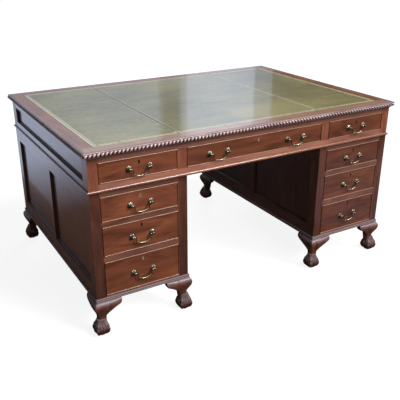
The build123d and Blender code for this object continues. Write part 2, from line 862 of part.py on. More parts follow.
def build_post(x, z):
    """A handle post: a ball bored for the bail's pin, a neck on the rose and a shank to the nut."""
    end = front_thickness + nut_thickness + shank_end
    neck_end = pivot_projection - (post_ball_radius**2 - post_neck_radius**2) ** 0.5
    plane = Plane(origin=(x, -case_y, z), x_dir=(1, 0, 0), z_dir=(0, 0, -1))
    with BuildPart() as post:
        with BuildSketch(plane):
            with BuildLine():
                Polyline(
                    (0, pivot_projection + post_ball_radius),
                    (0, -end),
                    (shank_radius, -end),
                    (shank_radius, rose_height),
                    (post_neck_radius, rose_height),
                    (post_neck_radius, neck_end),
                )
                ThreePointArc(
                    (post_neck_radius, neck_end),
                    (post_ball_radius, pivot_projection),
                    (0, pivot_projection + post_ball_radius),
                )
            make_face()
        revolve(axis=Axis((x, -case_y, z), (0, -1, 0)))
        with Locations((x, pivot_y, z)):
            Cylinder(
                wire_radius + pin_clearance,
                2 * rose_radius,
                rotation=(0, 90, 0),
                mode=Mode.SUBTRACT,
            )
    return post.part


def build_nut(x, z):
    """A square nut on the shank, behind the drawer front."""
    half = nut_width / 2
    y1 = front_back_y + nut_thickness
    with BuildPart() as nut:
        block((x - half, front_back_y, z - half), (x + half, y1, z + half))
        along_y(x, z, front_back_y, y1, shank_radius + pin_clearance, Mode.SUBTRACT)
    return nut.part


def build_bail(node, middle, z):
    """A swan-neck bail: pins in the posts, S-shaped arms and a bowed bar with three knops."""
    half = rose_spacing / 2
    pin_end = half + pin_reach
    neck = half - post_ball_radius - bail_side_gap
    arm = neck - bail_neck_turn
    outline = [
        (neck, 0),
        (arm, -bail_neck_turn),
        (arm + bail_bend_out, -bail_bend_drop),
        (arm - bail_corner_inset, -bail_corner_drop),
    ]
    returning = [(-x, y) for x, y in reversed(outline)]
    plane = Plane(origin=(middle, pivot_y, z), x_dir=(1, 0, 0), z_dir=(0, -1, 0))
    with BuildPart() as bail:
        with BuildLine(plane) as path:
            stretch = Line((pin_end, 0), outline[0])
            for start, end in zip(outline + returning[:-1], outline[1:] + returning):
                stretch = TangentArc(start, end, tangent=stretch % 1)
                if start == outline[-1]:
                    bar = stretch
            Line(returning[-1], (-pin_end, 0))
        with BuildSketch(Plane(origin=path.line @ 0, z_dir=path.line % 0)):
            Circle(wire_radius)
        sweep()
        for share in (0.5 - knop_spread, 0.5, 0.5 + knop_spread):
            with Locations(Plane(origin=bar @ share, z_dir=bar % share)):
                Sphere(wire_radius + knop_swell)
    keep(node, [bail.part])


def build_brass(drawer):
    """The roses, posts, nuts, escutcheon and lock of one drawer."""
    node = f"{drawer.name}_drawer_brass"
    for x in handle_posts(drawer):
        for build in (build_rose, build_post, build_nut):
            keep(node, [build(x, drawer.handle_z)])
    keyhole_plane = front_plane((drawer.x0 + drawer.x1) / 2, drawer.z1 - keyhole_drop)
    with BuildPart() as escutcheon:
        with BuildSketch(keyhole_plane):
            add(keyhole_shape(escutcheon_wall))
            add(keyhole_shape(0), mode=Mode.SUBTRACT)
        extrude(amount=-escutcheon_depth)
    lock_case, plate = lock_boxes(drawer)
    with BuildPart() as lock:
        block(*lock_case)
        block(*plate)
    keep(node, [escutcheon.part, lock.part])


def all_drawers():
    """The nine drawers: three in the frieze and three in each pedestal."""
    found = []
    frieze_spans = (
        ("frieze_left", -opening_outer_x, -opening_inner_x, [-(opening_outer_x + opening_inner_x) / 2]),
        ("frieze_centre", -inner_x, inner_x, [-centre_handle_offset, centre_handle_offset]),
        ("frieze_right", opening_inner_x, opening_outer_x, [(opening_outer_x + opening_inner_x) / 2]),
    )
    for name, x0, x1, handles in frieze_spans:
        handle_z = frieze_rail_z - frieze_handle_drop
        found.append(Drawer(name, x0, x1, frieze_opening_z, frieze_rail_z, handles, handle_z))
    rows = (
        ("upper", upper_opening_z, pedestal_rail_z, upper_handle_drop),
        ("middle", middle_opening_z, upper_rail_z, middle_handle_drop),
        ("lower", lower_opening_z, lower_rail_z, lower_handle_drop),
    )
    for side, sign in (("left", -1), ("right", 1)):
        x0, x1 = sorted((sign * opening_inner_x, sign * opening_outer_x))
        for row, z0, z1, drop in rows:
            found.append(Drawer(f"{side}_{row}", x0, x1, z0, z1, [(x0 + x1) / 2], z1 - drop))
    return found


def build_drawers():
    """Every drawer with its handles, and the stops on its rail."""
    for drawer in all_drawers():
        build_front(drawer)
        build_drawer_box(drawer)
        build_brass(drawer)
        keep("drawer_runners", drawer_stops(drawer))
        for middle in drawer.handles:
            place = "" if len(drawer.handles) == 1 else ("_left" if middle < 0 else "_right")
            build_bail(f"{drawer.name}{place}_bail", middle, drawer.handle_z)


build_case()
build_top()
build_mouldings()
build_inside()
build_feet()
build_drawers()

os.makedirs("parts", exist_ok=True)
for node, solids in parts.items():
    piece = Compound(label=node, children=solids) if len(solids) > 1 else solids[0]
    piece.label = node
    export_step(piece, f"parts/{node}.step")
print(len(parts), "nodes,", sum(len(solids) for solids in parts.values()), "solids")
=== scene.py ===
"""A mahogany pedestal writing desk, carved, polished and lit round its packed CAD frame."""

import json
import math
from functools import cache, partial

import bpy
import numpy as np
from bpy.props import FloatProperty, FloatVectorProperty, PointerProperty
from bpy.types import NodeSocket, Operator, Panel, PropertyGroup
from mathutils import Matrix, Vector

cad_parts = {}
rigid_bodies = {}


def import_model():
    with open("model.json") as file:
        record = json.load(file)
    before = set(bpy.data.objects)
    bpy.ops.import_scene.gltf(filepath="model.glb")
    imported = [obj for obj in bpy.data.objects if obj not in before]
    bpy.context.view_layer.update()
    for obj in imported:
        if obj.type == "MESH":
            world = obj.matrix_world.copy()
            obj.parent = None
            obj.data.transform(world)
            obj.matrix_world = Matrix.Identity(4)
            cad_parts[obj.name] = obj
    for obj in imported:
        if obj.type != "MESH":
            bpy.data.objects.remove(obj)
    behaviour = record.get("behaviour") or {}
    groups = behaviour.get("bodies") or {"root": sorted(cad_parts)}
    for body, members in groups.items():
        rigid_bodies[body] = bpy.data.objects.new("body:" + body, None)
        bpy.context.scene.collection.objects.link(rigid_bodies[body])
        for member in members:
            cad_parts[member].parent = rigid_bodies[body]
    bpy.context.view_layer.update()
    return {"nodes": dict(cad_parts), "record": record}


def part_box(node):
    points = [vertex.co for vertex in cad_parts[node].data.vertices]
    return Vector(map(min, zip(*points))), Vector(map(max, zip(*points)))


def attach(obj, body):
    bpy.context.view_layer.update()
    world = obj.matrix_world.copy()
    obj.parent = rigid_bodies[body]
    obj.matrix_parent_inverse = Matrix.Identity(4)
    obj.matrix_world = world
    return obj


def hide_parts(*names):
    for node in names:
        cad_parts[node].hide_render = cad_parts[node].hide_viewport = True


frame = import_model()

bl_info = {
    "name": "Pedestal Writing Desk",
    "version": (1, 0, 0),
    "blender": (4, 5, 0),
    "location": "View3D > Sidebar > Desk",
    "description": "Carves, polishes and lights a mahogany pedestal writing desk",
    "category": "Object",
}

# Places that the frame gives, in metres
EDGE_LOW, EDGE_HIGH = (np.array(corner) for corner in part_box("edge_moulding"))
HALF_CASE = np.array(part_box("frieze_posts")[1])[:2]
PEDESTALS = {side: [np.array(c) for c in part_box(f"{side}_pedestal_posts")] for side in ("left", "right")}
FOOT_TOP = PEDESTALS["left"][0][2]
SIDE_DRAWER = [np.array(corner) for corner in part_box("right_upper_drawer_front")]
CENTRE_DRAWER = [np.array(corner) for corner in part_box("frieze_centre_drawer_front")]
DESK = "desk"

# Finishes of the wood
POLISHED = {"Coat Weight": 0.6, "Coat Roughness": 0.06, "Coat IOR": 1.5}
BURNISHED = {"Coat Weight": 1.0, "Coat Roughness": 0.14, "Coat IOR": 1.6}
WAXED = {"Coat Weight": 0.75, "Coat Roughness": 0.24, "Coat IOR": 1.6}
RUBBED = {"Coat Weight": 0.22, "Coat Roughness": 0.45, "Specular IOR Level": 0.3}
WORN = {"Coat Weight": 0.55, "Coat Roughness": 0.09, "Coat IOR": 1.5}
SATIN = {"Coat Weight": 0.25, "Coat Roughness": 0.20, "Coat IOR": 1.5}
DULL = {"Coat Weight": 0.0, "Specular IOR Level": 0.12}
BARE = {"Coat Weight": 0.0, "Specular IOR Level": 0.3}

# CAD nodes that each wood of the case dresses
CASE_NODES = {
    "frieze_post": ["frieze_posts"],
    "frieze_rail": ["frieze_long_rails"],
    "post": ["right_pedestal_posts"],
    "left_post": ["left_pedestal_posts"],
    "rail": ["pedestal_cross_rails"],
    "side_rail": ["frieze_end_rails", "pedestal_side_rails"],
    "panel": ["pedestal_panels"],
    "frieze_panel": ["frieze_panels"],
    "moulding": ["waist_moulding"],
    "base_moulding": ["base_mouldings"],
    "panel_bead": ["panel_beads"],
}

# Shades of the drawer fronts: each its own board, and darker on the right pedestal and the right of the
# frieze as painted shade
FRONT_SHADES = {
    "frieze_left": 1.02,
    "frieze_centre": 0.82,
    "frieze_right": 0.74,
    "left_upper": 1.10,
    "left_middle": 0.98,
    "left_lower": 0.80,
    "right_upper": 0.64,
    "right_middle": 0.76,
    "right_lower": 0.62,
}

# Drawers whose escutcheons are still bright; the others have gone black
BRIGHT_ESCUTCHEONS = ("frieze_centre", "left_upper", "left_lower")

# How much gilt is left beside the seams of each leather
SEAM_GILT = {"left": 0.12, "centre": 0.35, "right": 1.0}

# Where the writer's arm has worn the leather: the middle of the patch and its reach, in metres
ARM_REST = {"Location": (0.24, -0.36, EDGE_HIGH[2]), "Scale": (0.30, 0.17, 1.0)}

# Lobes of the gadrooned edge: where they are cut as shares of their width, how deep their grooves are at
# the top and the foot of the nose, their skew, the powers of their outer and inner flanks, and their
# painted shade and grime
LOBE_SHARES = np.array([0.0, 0.07, 0.22, 0.5, 0.78, 0.93])
LOBE_FALL = (0.60, 1.40)
LOBE_SKEW = 1.5
LOBE_POWERS = (0.8, 0.5)
LOBE_SHADE_AND_DIRT = 1.2

# The nose they are cut in: degrees up and down from level, points, and the power that lowers its bulge
NOSE_TURN, NOSE_POINTS, NOSE_DROP = 84, 9, 0.6

# Plain mouldings above and below the gadroons: out from the case and down from the top in metres, and the
# painted shade on them
EDGE_OVER = np.array(
    [(0, 0), (0.0128, 0), (0.0150, 0.0009), (0.0158, 0.0024), (0.0155, 0.0040), (0.0144, 0.0050)]
)
EDGE_UNDER = np.array(
    [(0.0090, 0.0180), (0.0062, 0.0196), (0.0048, 0.0218), (0.0036, 0.0260), (0, 0.0260)]
)
OVER_SHADE, UNDER_SHADE = 0.4, 0.65

# Outline of a leg, in metres: height, outer face, inner face, and how sharp its outer corner is
LEG_LEVELS = (
    (0.1560, -0.0020, 0.0540, 16.0),
    (0.1515, -0.0085, 0.0540, 16.0),
    (0.1440, -0.0132, 0.0535, 16.0),
    (0.1340, -0.0150, 0.0525, 14.0),
    (0.1220, -0.0130, 0.0500, 12.0),
    (0.1100, -0.0080, 0.0468, 9.0),
    (0.0980, -0.0020, 0.0438, 7.0),
    (0.0870, 0.0022, 0.0415, 5.0),
    (0.0770, 0.0030, 0.0400, 4.0),
    (0.0670, 0.0010, 0.0390, 3.2),
    (0.0560, -0.0040, 0.0380, 2.8),
)

# Lower line of a bracket wing, in metres: reach from the corner, and height
WING_LINE = (
    (0.0200, 0.0840),
    (0.0370, 0.0870),
    (0.0470, 0.0965),
    (0.0600, 0.1085),
    (0.0740, 0.1185),
    (0.0860, 0.1245),
    (0.0950, 0.1290),
    (0.1000, 0.1370),
    (0.1010, 0.1460),
)

# Powers of the rounded squares at a leg's inner corner and round a wing, and how far a wing's tip flattens
SOFT_POWER, WING_POWER, TIP_FLATNESS = 2.6, 5.0, 0.45

# The claw, in metres: height, radius between the toes, how far toes and tendons stand out, and a toe's
# half angle in radians
CLAW_LEVELS = (
    (0.0740, 0.0176, 0.0010, 0.0003, 0.50),
    (0.0660, 0.0188, 0.0030, 0.0012, 0.42),
    (0.0580, 0.0208, 0.0060, 0.0026, 0.33),
    (0.0500, 0.0244, 0.0084, 0.0036, 0.27),
    (0.0420, 0.0272, 0.0078, 0.0040, 0.24),
    (0.0340, 0.0286, 0.0098, 0.0038, 0.23),
    (0.0270, 0.0292, 0.0096, 0.0028, 0.22),
    (0.0200, 0.0284, 0.0082, 0.0016, 0.20),
    (0.0140, 0.0258, 0.0076, 0.0004, 0.17),
    (0.0080, 0.0200, 0.0064, 0.0000, 0.13),
    (0.0030, 0.0140, 0.0012, 0.0000, 0.10),
)
TOE_TURNS = np.radians((0.0, 90.0, -90.0, 180.0))
TENDON_TURNS = np.radians((22.5, -22.5, 45.0, -45.0, 67.5, -67.5, 112.5, -112.5, 145.0, -145.0))
TENDON_HALF = math.radians(8)

# Heading of the front toe, and the painted shade and grime between toes that stand out this far or
# further, in metres
FRONT_TOE = math.radians(225)
CLAW_SHADE_AND_DIRT, SHADE_AND_DIRT_REACH = 0.8, 0.006

# A brass rose: petals; neck radius, rim, rise and cup in metres; notch between petals as a share; powers
ROSE_PETALS = 8
ROSE_NECK, ROSE_RIM, ROSE_RISE, ROSE_CUP = 0.0042, 0.0020, 0.0039, 0.0014
PETAL_NOTCH, PETAL_POWER, RISE_POWER = 0.11, 0.6, 0.9

# Fineness of the carving: rings along a shell, and points round each ring; where the ball's rings start in
# degrees from its poles; and the angle that makes an edge sharp
LEG_GRID, WING_GRID, BALL_GRID, CLAW_GRID, ROSE_GRID = (60, 64), (44, 56), (24, 32), (52, 160), (12, 96)
BALL_POLE, CREASE = 4, math.radians(42)

# Noises: lumps per metre on each axis, detail and distortion. The wood's are its figure, streaks, fibres,
# pores and warmth, the hide's its patches, streaks and scuffs, and the brass's its patches and its grain
WOOD_NOISES = (
    ((4.2, 17.0, 17.0), 4.0, 1.4),
    ((5.0, 75.0, 75.0), 4.0, 0.6),
    ((16.0, 620.0, 620.0), 2.0, 0.0),
    ((55.0, 1500.0, 1500.0), 1.0, 0.0),
    ((3.0, 8.0, 8.0), 2.0, 0.8),
)
HIDE_NOISES = (
    ((2.6, 3.4, 1.0), 5.0, 0.4),
    ((5.0, 40.0, 1.0), 4.0, 0.6),
    ((60.0, 40.0, 1.0), 4.0, 0.0),
)
BRASS_NOISES = (
    ((95.0, 95.0, 95.0), 4.0, 0.5),
    ((700.0, 700.0, 700.0), 3.0, 0.0),
)

# Ranges of the noises that become pores, tones and warmth of the wood, and tones and scuffs of the hide,
# and of the distance from the writer's arm that becomes wear
PORES, WOOD_RANGE, WARMTH = (0.60, 0.72), (0.33, 0.72), (0.35, 0.65)
HIDE_RANGE, SCUFFS, ARM_WEAR = (0.38, 0.72), (0.25, 0.45), (1.0, 0.2)

# Ranges of the brass's noise from patina to rubbed: on plain brass, and where hands keep it bright
BRASS_RANGES = (0.50, 0.86), (0.36, 0.70)

# Cells of the hide's fine grain, to a metre
HIDE_CELLS = 700.0

# Depth of the bump on each material in metres, and how strongly it shows
WOOD_BUMP, HIDE_BUMP, BRASS_BUMP, BUMP_STRENGTH = 0.0002, 0.0003, 0.0001, 0.5

# Lines of the tooling, in metres: the place in from the edge, and half the width
BROAD_LINE, THIN_LINE, BLIND_LINE, SEAM_LINE = (
    (0.0065, 0.0062), (0.0150, 0.0030), (0.0115, 0.0012), (0.0060, 0.0048)
)
GROOVE_EDGE, GROOVE_TONE = (0.0026, 0.0016), (0.02, 0.018, 0.010)

# Points along the thin line, with their slope, and lozenges at the ends of the seams, in metres
POINT_PLACE, POINT_PITCH, POINT_SLOPE, POINT_FADE = 0.0195, 0.006, 0.6, 0.001
SEAM_START, LOZENGE_PLACE, LOZENGE_EDGE = 0.023, 0.0225, (0.016, 0.011)

# Depths before which cock beads and brass stand out from the fronts, and the beads' width, in metres
BEAD_FACE, BRASS_FACE, BEAD_WIDTH = -HALF_CASE[1] - 0.0005, -HALF_CASE[1] - 0.0012, 0.0035

# Tones of the cards that the polish mirrors, in linear light
DARK, BROWN, BLUE, LILAC = (
    (0.035, 0.030, 0.028), (0.15, 0.075, 0.055), (0.84, 0.93, 1.20), (0.17, 0.18, 0.23)
)
HAZE, SKY = np.array((0.71, 0.83, 1.03)), np.array((1.30, 1.49, 1.88))

# Cards on the floor: two corners and the height in metres, the tone, and a fade: its axis, where it begins
# and ends, and the tone where it begins
GROUNDS = {
    "dark_ground": ((-6, -8, 8, 6, 0.001), DARK),
    "blue_ground": ((-6, -1, -0.745, 6, 0.002), BLUE, ("Y", 0.75, 1.8, BROWN)),
    "near_ground": ((-0.95, -1, -0.745, 6, 0.003), DARK, ("X", -0.95, -0.80, BROWN)),
    "lilac_ground": ((0.70, -1.80, 2.0, -0.65, 0.002), LILAC),
}

# Dark cards: two points that they stand between and their height, in metres
WALLS = {
    "dark_left": ((-4.5, -8), (-4.5, 6), 9),
    "dark_front": ((-4.5, -7.5), (8, -7.5), 6),
    "dark_right": ((7.5, -8), (7.5, 6), 6),
    "dark_back": ((-4.5, 5.5), (8, 5.5), 5),
}

# Pale cards behind the desk: two headings from the camera in degrees, and a tone. They stand this far away
# and this high, and fade in like those on the floor, each from a share of its own tone
SHEEN = {
    "haze": (-6, 26.2, HAZE),
    "haze_edge": (26.2, 26.6, HAZE * 0.5),
    "sky_rise": (28.3, 28.9, SKY * 0.5),
    "sky": (28.9, 35.5, SKY),
    "sky_edge": (35.5, 37.2, SKY * 0.45),
}
CARD_AWAY, SHEEN_HIGH = 7.0, 3.2
SHEEN_FADES = (("Z", 1.35, 2.3, 0.47), ("X", -0.3, 0.95, 0.42))

# The dark card in the gap between them: two headings, its height, and its fade
GAP_CORNERS, GAP_FADE = (26.6, 28.3, 1.85), ("Z", 1.4, 1.85, HAZE * 0.47)

# The high light: place in metres, strength and width. The soft lamps: place, power in watts; size and aim
SUN_PLACE, SUN_STRENGTH, SUN_WIDTH = (2.2, -3.0, 3.4), 2.7, math.radians(24)
SOFT_LAMPS = {"near_light": ((0.3, -2.8, 1.9), 40), "back_light": ((2.4, 3.6, 1.7), 60)}
SOFT_SIZE, SOFT_AIM = (1.6, 0.9), (0, 0, 0.45)

# Half the width of the floor, in metres
FLOOR_HALF = 12


def length(name, description, default):
    """A length that a user may change, in metres."""
    return FloatProperty(name=name, description=description, default=default, unit="LENGTH", precision=4)


def angle(name, description, default):
    """An angle that a user may change, in radians."""
    return FloatProperty(name=name, description=description, default=default, subtype="ANGLE")


def share(name, description, default):
    """A plain number between nothing and all."""
    return FloatProperty(
        name=name, description=description, default=default, subtype="FACTOR", min=0, max=1
    )


def colour(name, description, default):
    """A colour that a user may change, in linear light."""
    return FloatVectorProperty(
        name=name, description=description, default=default, subtype="COLOR", size=3, min=0, max=1
    )


def streaks(wood, tone, default):
    """The colour of a wood's dark or light streaks."""
    return colour(f"{wood}, {tone}", f"Streaks of {tone} wood: {wood.lower()}", default)


class CarvingSizes(PropertyGroup):
    """Sizes of the carved edge, the feet and the roses."""

    lobe_pitch: length("Lobe pitch", "Width of one gadroon along the edge", 0.0155)
    lobe_lean: length("Lobe lean", "How far a gadroon's top leans towards the middle of its side", 0.0058)
    lobe_groove: length("Lobe groove", "Depth of the groove between two gadroons", 0.0064)
    lobe_root: length("Lobe root", "Where the gadroons' round starts, outwards from the case", 0.0135)
    ball_radius: length("Ball radius", "Radius of the ball that the claw holds", 0.0310)
    ball_inset: length("Ball inset", "Middle of the ball, inwards from the corner of the case", 0.0140)
    wing_thickness: length("Wing thickness", "Thickness of the bracket wings", 0.0200)
    rose_spacing: length("Rose spacing", "Distance between the two roses of a handle", 0.0860)
    rose_radius: length("Rose radius", "Radius of a rose over its petals", 0.0126)


class FinishColours(PropertyGroup):
    """Colours of the wood, the leather and the brass."""

    case_dark: streaks("Frieze and mouldings", "dark", (0.150, 0.045, 0.024))
    case_light: streaks("Frieze and mouldings", "light", (0.320, 0.110, 0.061))
    border_dark: streaks("Border of the top", "dark", (0.200, 0.072, 0.036))
    border_light: streaks("Border of the top", "light", (0.440, 0.195, 0.098))
    border_rubbed: colour("Rubbed border", "Front board, rubbed by sleeves", (0.620, 0.420, 0.260))
    # The carved edge's tones are pale and lilac: a painted sheen of light on the gadroons
    edge_dark: streaks("Carved edge", "dark", (0.250, 0.125, 0.118))
    edge_light: streaks("Carved edge", "light", (0.600, 0.410, 0.420))
    frame_dark: streaks("Pedestals", "dark", (0.052, 0.018, 0.011))
    frame_light: streaks("Pedestals", "light", (0.150, 0.050, 0.031))
    # The drawer rails' tones are paler and less red than the posts': a painted sheen
    rail_dark: streaks("Drawer rails", "dark", (0.090, 0.034, 0.022))
    rail_light: streaks("Drawer rails", "light", (0.232, 0.090, 0.060))
    foot_dark: streaks("Feet and their beads", "dark", (0.036, 0.012, 0.009))
    foot_light: streaks("Feet and their beads", "light", (0.190, 0.062, 0.030))
    front_dark: streaks("Drawer fronts", "dark", (0.086, 0.024, 0.012))
    front_light: streaks("Drawer fronts", "light", (0.265, 0.081, 0.038))
    panel_dark: streaks("Panels", "dark", (0.048, 0.015, 0.010))
    panel_light: streaks("Panels", "light", (0.105, 0.034, 0.021))
    # Pale on the level cock beads alone: a painted highlight
    bead_highlight: colour("Cock beads", "Level edges of the drawer fronts, rubbed pale", (0.338, 0.175, 0.115))
    # A painted sheen of light on faces of the feet and base mouldings that look up
    painted_sheen: colour("Bloom", "Dull bloom on faces of the feet that look up", (0.290, 0.235, 0.255))
    # Painted shade and grime in the carving's hollows; painted shade under the top, under the waist, low
    # on the posts and on the panel beads; darkens the feet towards the floor; the black of blackened
    # escutcheons
    dirt_and_shade: colour("Hollows", "Old polish in the hollows of mouldings and carving", (0.018, 0.008, 0.006))
    oak_dark: streaks("Oak linings", "dark", (0.230, 0.130, 0.062))
    oak_light: streaks("Oak linings", "light", (0.480, 0.320, 0.175))
    leather_dark: colour("Leather, dark", "Dark patches of the hide", (0.115, 0.106, 0.042))
    leather_light: colour("Leather, light", "Worn patches of the hide", (0.370, 0.322, 0.135))
    gilt: colour("Gilt", "Tooled gold lines on the leather", (0.770, 0.695, 0.470))
    brass: colour("Brass", "Rubbed brass", (0.420, 0.385, 0.290))
    rubbed_brass: colour("Bails", "Brass that hands keep bright", (0.499, 0.449, 0.289))
    inlay: colour("Escutcheons", "Dull brass let into the drawer fronts", (0.420, 0.330, 0.190))
    patina: colour("Patina", "Brass where it is not rubbed", (0.090, 0.080, 0.064))


class StudioSettings(PropertyGroup):
    """Camera and light of the stage."""

    camera_place: FloatVectorProperty(
        name="Camera place",
        description="Where the photographer stands",
        default=(-1.38312, -2.40796, 1.43150),
        subtype="XYZ",
        unit="LENGTH",
    )
    camera_turn: angle("Camera turn", "Turn of the view from straight ahead to the right", 0.52754)
    camera_tilt: angle("Camera tilt", "Tilt of the view below the horizon", 0.40408)
    focal_length: FloatProperty(name="Focal length", description="Lens on a 36 mm sensor", default=53.24)
    room_light: share("Room light", "Level of the even light from all sides", 0.12)
    floor_glow: share("Floor glow", "Level of the floor's own white, which its shadows don't darken", 0.88)


def smooth_line(knots, count):
    """Points on a smooth line through some knots: a Catmull-Rom cubic between each two of them."""
    knots = np.asarray(knots, float)
    padded = np.vstack([2 * knots[0] - knots[1], knots, 2 * knots[-1] - knots[-2]])
    along = np.linspace(0, len(knots) - 1, count)
    first = np.minimum(along.astype(int), len(knots) - 2)
    part = (along - first)[:, None]
    a, b, c, d = (padded[first + step] for step in range(4))
    bend = (c - a) * part + (2 * a - 5 * b + 4 * c - d) * part**2 + (3 * b - a - 3 * c + d) * part**3
    return b + bend / 2


def rounded_square(turns, power):
    """Points of a superellipse: the cosine and the sine, each raised to 2 / power with its sign kept."""
    cosine, sine = np.cos(turns), np.sin(turns)
    return np.sign(cosine) * np.abs(cosine) ** (2 / power), np.sign(sine) * np.abs(sine) ** (2 / power)


def grid(x, y, z):
    """Points from their parts, each as wide as the widest."""
    return np.stack(np.broadcast_arrays(x, y, z), axis=-1)


def round_turns(count):
    """Evenly spaced angles once round."""
    return np.linspace(0, 2 * math.pi, count, endpoint=False)


def skin(rings, closed=False, hollow=0.0):
    """A skin over rings of points: joined last to first if closed, and otherwise capped at both ends.

    It comes back as points, quads, triangles, and how hollow the carving is at each point, from 0 to 1.
    """
    rows, columns = rings.shape[:2]
    index = np.arange(rows * columns).reshape(rows, columns)
    low = index if closed else index[:-1]
    high = np.roll(index, -1, axis=0) if closed else index[1:]
    quads = np.stack([low, np.roll(low, -1, axis=1), np.roll(high, -1, axis=1), high], axis=-1)
    quads = quads.reshape(-1, 4)
    points = rings.reshape(-1, 3)
    depth = np.broadcast_to(hollow, (rows, columns)).ravel()
    if closed:
        return facing_out(points, quads, np.empty((0, 3), int), depth)
    middles = np.stack([rings[0].mean(axis=0), rings[-1].mean(axis=0)])
    first = np.stack([np.roll(index[0], -1), index[0], np.full(columns, len(points))], axis=-1)
    last = np.stack([index[-1], np.roll(index[-1], -1), np.full(columns, len(points) + 1)], axis=-1)
    points, triangles = np.vstack([points, middles]), np.vstack([first, last])
    return facing_out(points, quads, triangles, np.append(depth, [0, 0]))


def facing_out(points, quads, triangles, depth):
    """A closed shell with its faces turned outwards: reversed if its signed volume is negative."""
    halves = np.vstack([quads[:, [0, 1, 2]], quads[:, [0, 2, 3]], triangles])
    a, b, c = (points[halves[:, corner]] for corner in range(3))
    if np.einsum("ij,ij->i", a, np.cross(b, c)).sum() < 0:
        return points, quads[:, ::-1], triangles[:, ::-1], depth
    return points, quads, triangles, depth


def add_piece(name, shells, material, body, replaced):
    """One object from closed shells, smooth except at creases, that rides on a body for some CAD nodes."""
    points, quads, triangles, depth = zip(*shells)
    starts = np.cumsum([0] + [len(part) for part in points])
    faces = [(part + start).tolist() for start, part in zip(starts, quads)]
    faces += [(part + start).tolist() for start, part in zip(starts, triangles)]
    mesh = bpy.data.meshes.new(name)
    mesh.from_pydata(np.vstack(points).tolist(), [], sum(faces, []))
    mesh.attributes.new("hollow", "FLOAT", "POINT").data.foreach_set("value", np.concatenate(depth))
    mesh.materials.append(material)
    mesh.shade_smooth()
    mesh.set_sharp_from_angle(angle=CREASE)
    made = bpy.data.objects.new(name, mesh)
    bpy.context.collection.objects.link(made)
    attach(made, body)
    if replaced:
        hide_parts(*replaced)


def gadroon_side(half_along, half_out, sizes):
    """One side of the gadrooned edge in its own frame: along the side, outwards, up.

    The profile is a plain rounded edge, a round nose and a plain hollow. The nose is cut back by
    groove * fall * (1 - sin(pi * u ** skew) ** power), where u runs from 0 to 1 across each lobe towards
    the middle of the side, fall grows downwards, and power is greater on the gentle outer flank than on
    the steep inner one. The nose is fullest below its middle, and its grid leans with the lobes. Each
    point's place along the side grows with its distance outwards, so sides mitre.
    """
    projection = EDGE_HIGH[0] - HALF_CASE[0]
    lobes = 2 * round(half_along / sizes.lobe_pitch)
    across = (np.arange(lobes)[:, None] + LOBE_SHARES).ravel()
    place = across / lobes * 2 - 1
    inwards = np.where(place < 0, across % 1, 1 - across % 1)
    lobe = np.sin(np.pi * inwards**LOBE_SKEW)
    bulge = lobe ** np.where(inwards**LOBE_SKEW < 0.5, *LOBE_POWERS)
    round_nose = np.radians(np.linspace(NOSE_TURN, -NOSE_TURN, NOSE_POINTS))
    over, under = EDGE_OVER[-1, 1], EDGE_UNDER[0, 1]
    nose_out = sizes.lobe_root + (projection - sizes.lobe_root) * np.cos(round_nose)
    nose_down = over + (under - over) * ((1 - np.sin(round_nose)) / 2) ** NOSE_DROP
    out = np.concatenate([EDGE_OVER[:, 0], nose_out, EDGE_UNDER[:, 0]])
    down = np.concatenate([EDGE_OVER[:, 1], nose_down, EDGE_UNDER[:, 1]])
    plain = (len(EDGE_OVER), len(EDGE_UNDER))
    fall = np.sqrt(np.cos(round_nose)) * np.linspace(*LOBE_FALL, len(round_nose))
    carved = np.pad(fall, plain)
    lean = np.pad(np.sin(round_nose) / 2, plain)
    outward = out - sizes.lobe_groove * carved * (1 - bulge[:, None])
    ends = np.clip((1 - np.abs(place)) * half_along / sizes.lobe_pitch, 0, 1)
    towards_middle = -np.clip(place * half_along / sizes.lobe_pitch, -1, 1) * ends
    along = place[:, None] * (half_along + outward) + towards_middle[:, None] * lean * sizes.lobe_lean
    # Painted shade on the plain mouldings and in the quirk above the nose
    shaded = np.pad(0 * round_nose, plain, constant_values=(OVER_SHADE, UNDER_SHADE))
    shaded[len(EDGE_OVER) - 1] = 1
    hollow = np.maximum(shaded, np.clip(LOBE_SHADE_AND_DIRT * carved * (1 - lobe)[:, None], 0, 1))
    return grid(along, half_out + outward, EDGE_HIGH[2] - down), hollow


def gadrooned_edge(sizes):
    """The four mitred sides of the carved edge, turned round the desk and skinned as one ring."""
    rings, hollows = [], []
    for turn in range(4):
        along_x = turn % 2 == 0
        half_along, half_out = HALF_CASE if along_x else HALF_CASE[::-1]
        side, hollow = gadroon_side(half_along, half_out, sizes)
        cosine, sine = round(math.cos(turn * math.pi / 2)), round(math.sin(turn * math.pi / 2))
        x = side[..., 0] * cosine + side[..., 1] * sine
        y = side[..., 0] * sine - side[..., 1] * cosine
        rings.append(grid(x, y, side[..., 2]))
        hollows.append(hollow)
    return skin(np.concatenate(rings), True, np.concatenate(hollows))


def cabriole_leg():
    """A leg in its corner's frame: at each height a rounded square between the outer and inner faces.

    Its corners are superellipses whose power grows from the inner corner to the sharp outer one.
    """
    levels = smooth_line(LEG_LEVELS, LEG_GRID[0])
    height, outer, inner, sharp = (levels[:, [column]] for column in range(4))
    turns = round_turns(LEG_GRID[1])
    towards_outside = ((1 - np.cos(turns - math.pi / 4)) / 2) ** 2
    across, deep = rounded_square(turns, SOFT_POWER + (sharp - SOFT_POWER) * towards_outside)
    middle, half = (outer + inner) / 2, (inner - outer) / 2
    return skin(grid(middle + half * across, middle + half * deep, height))


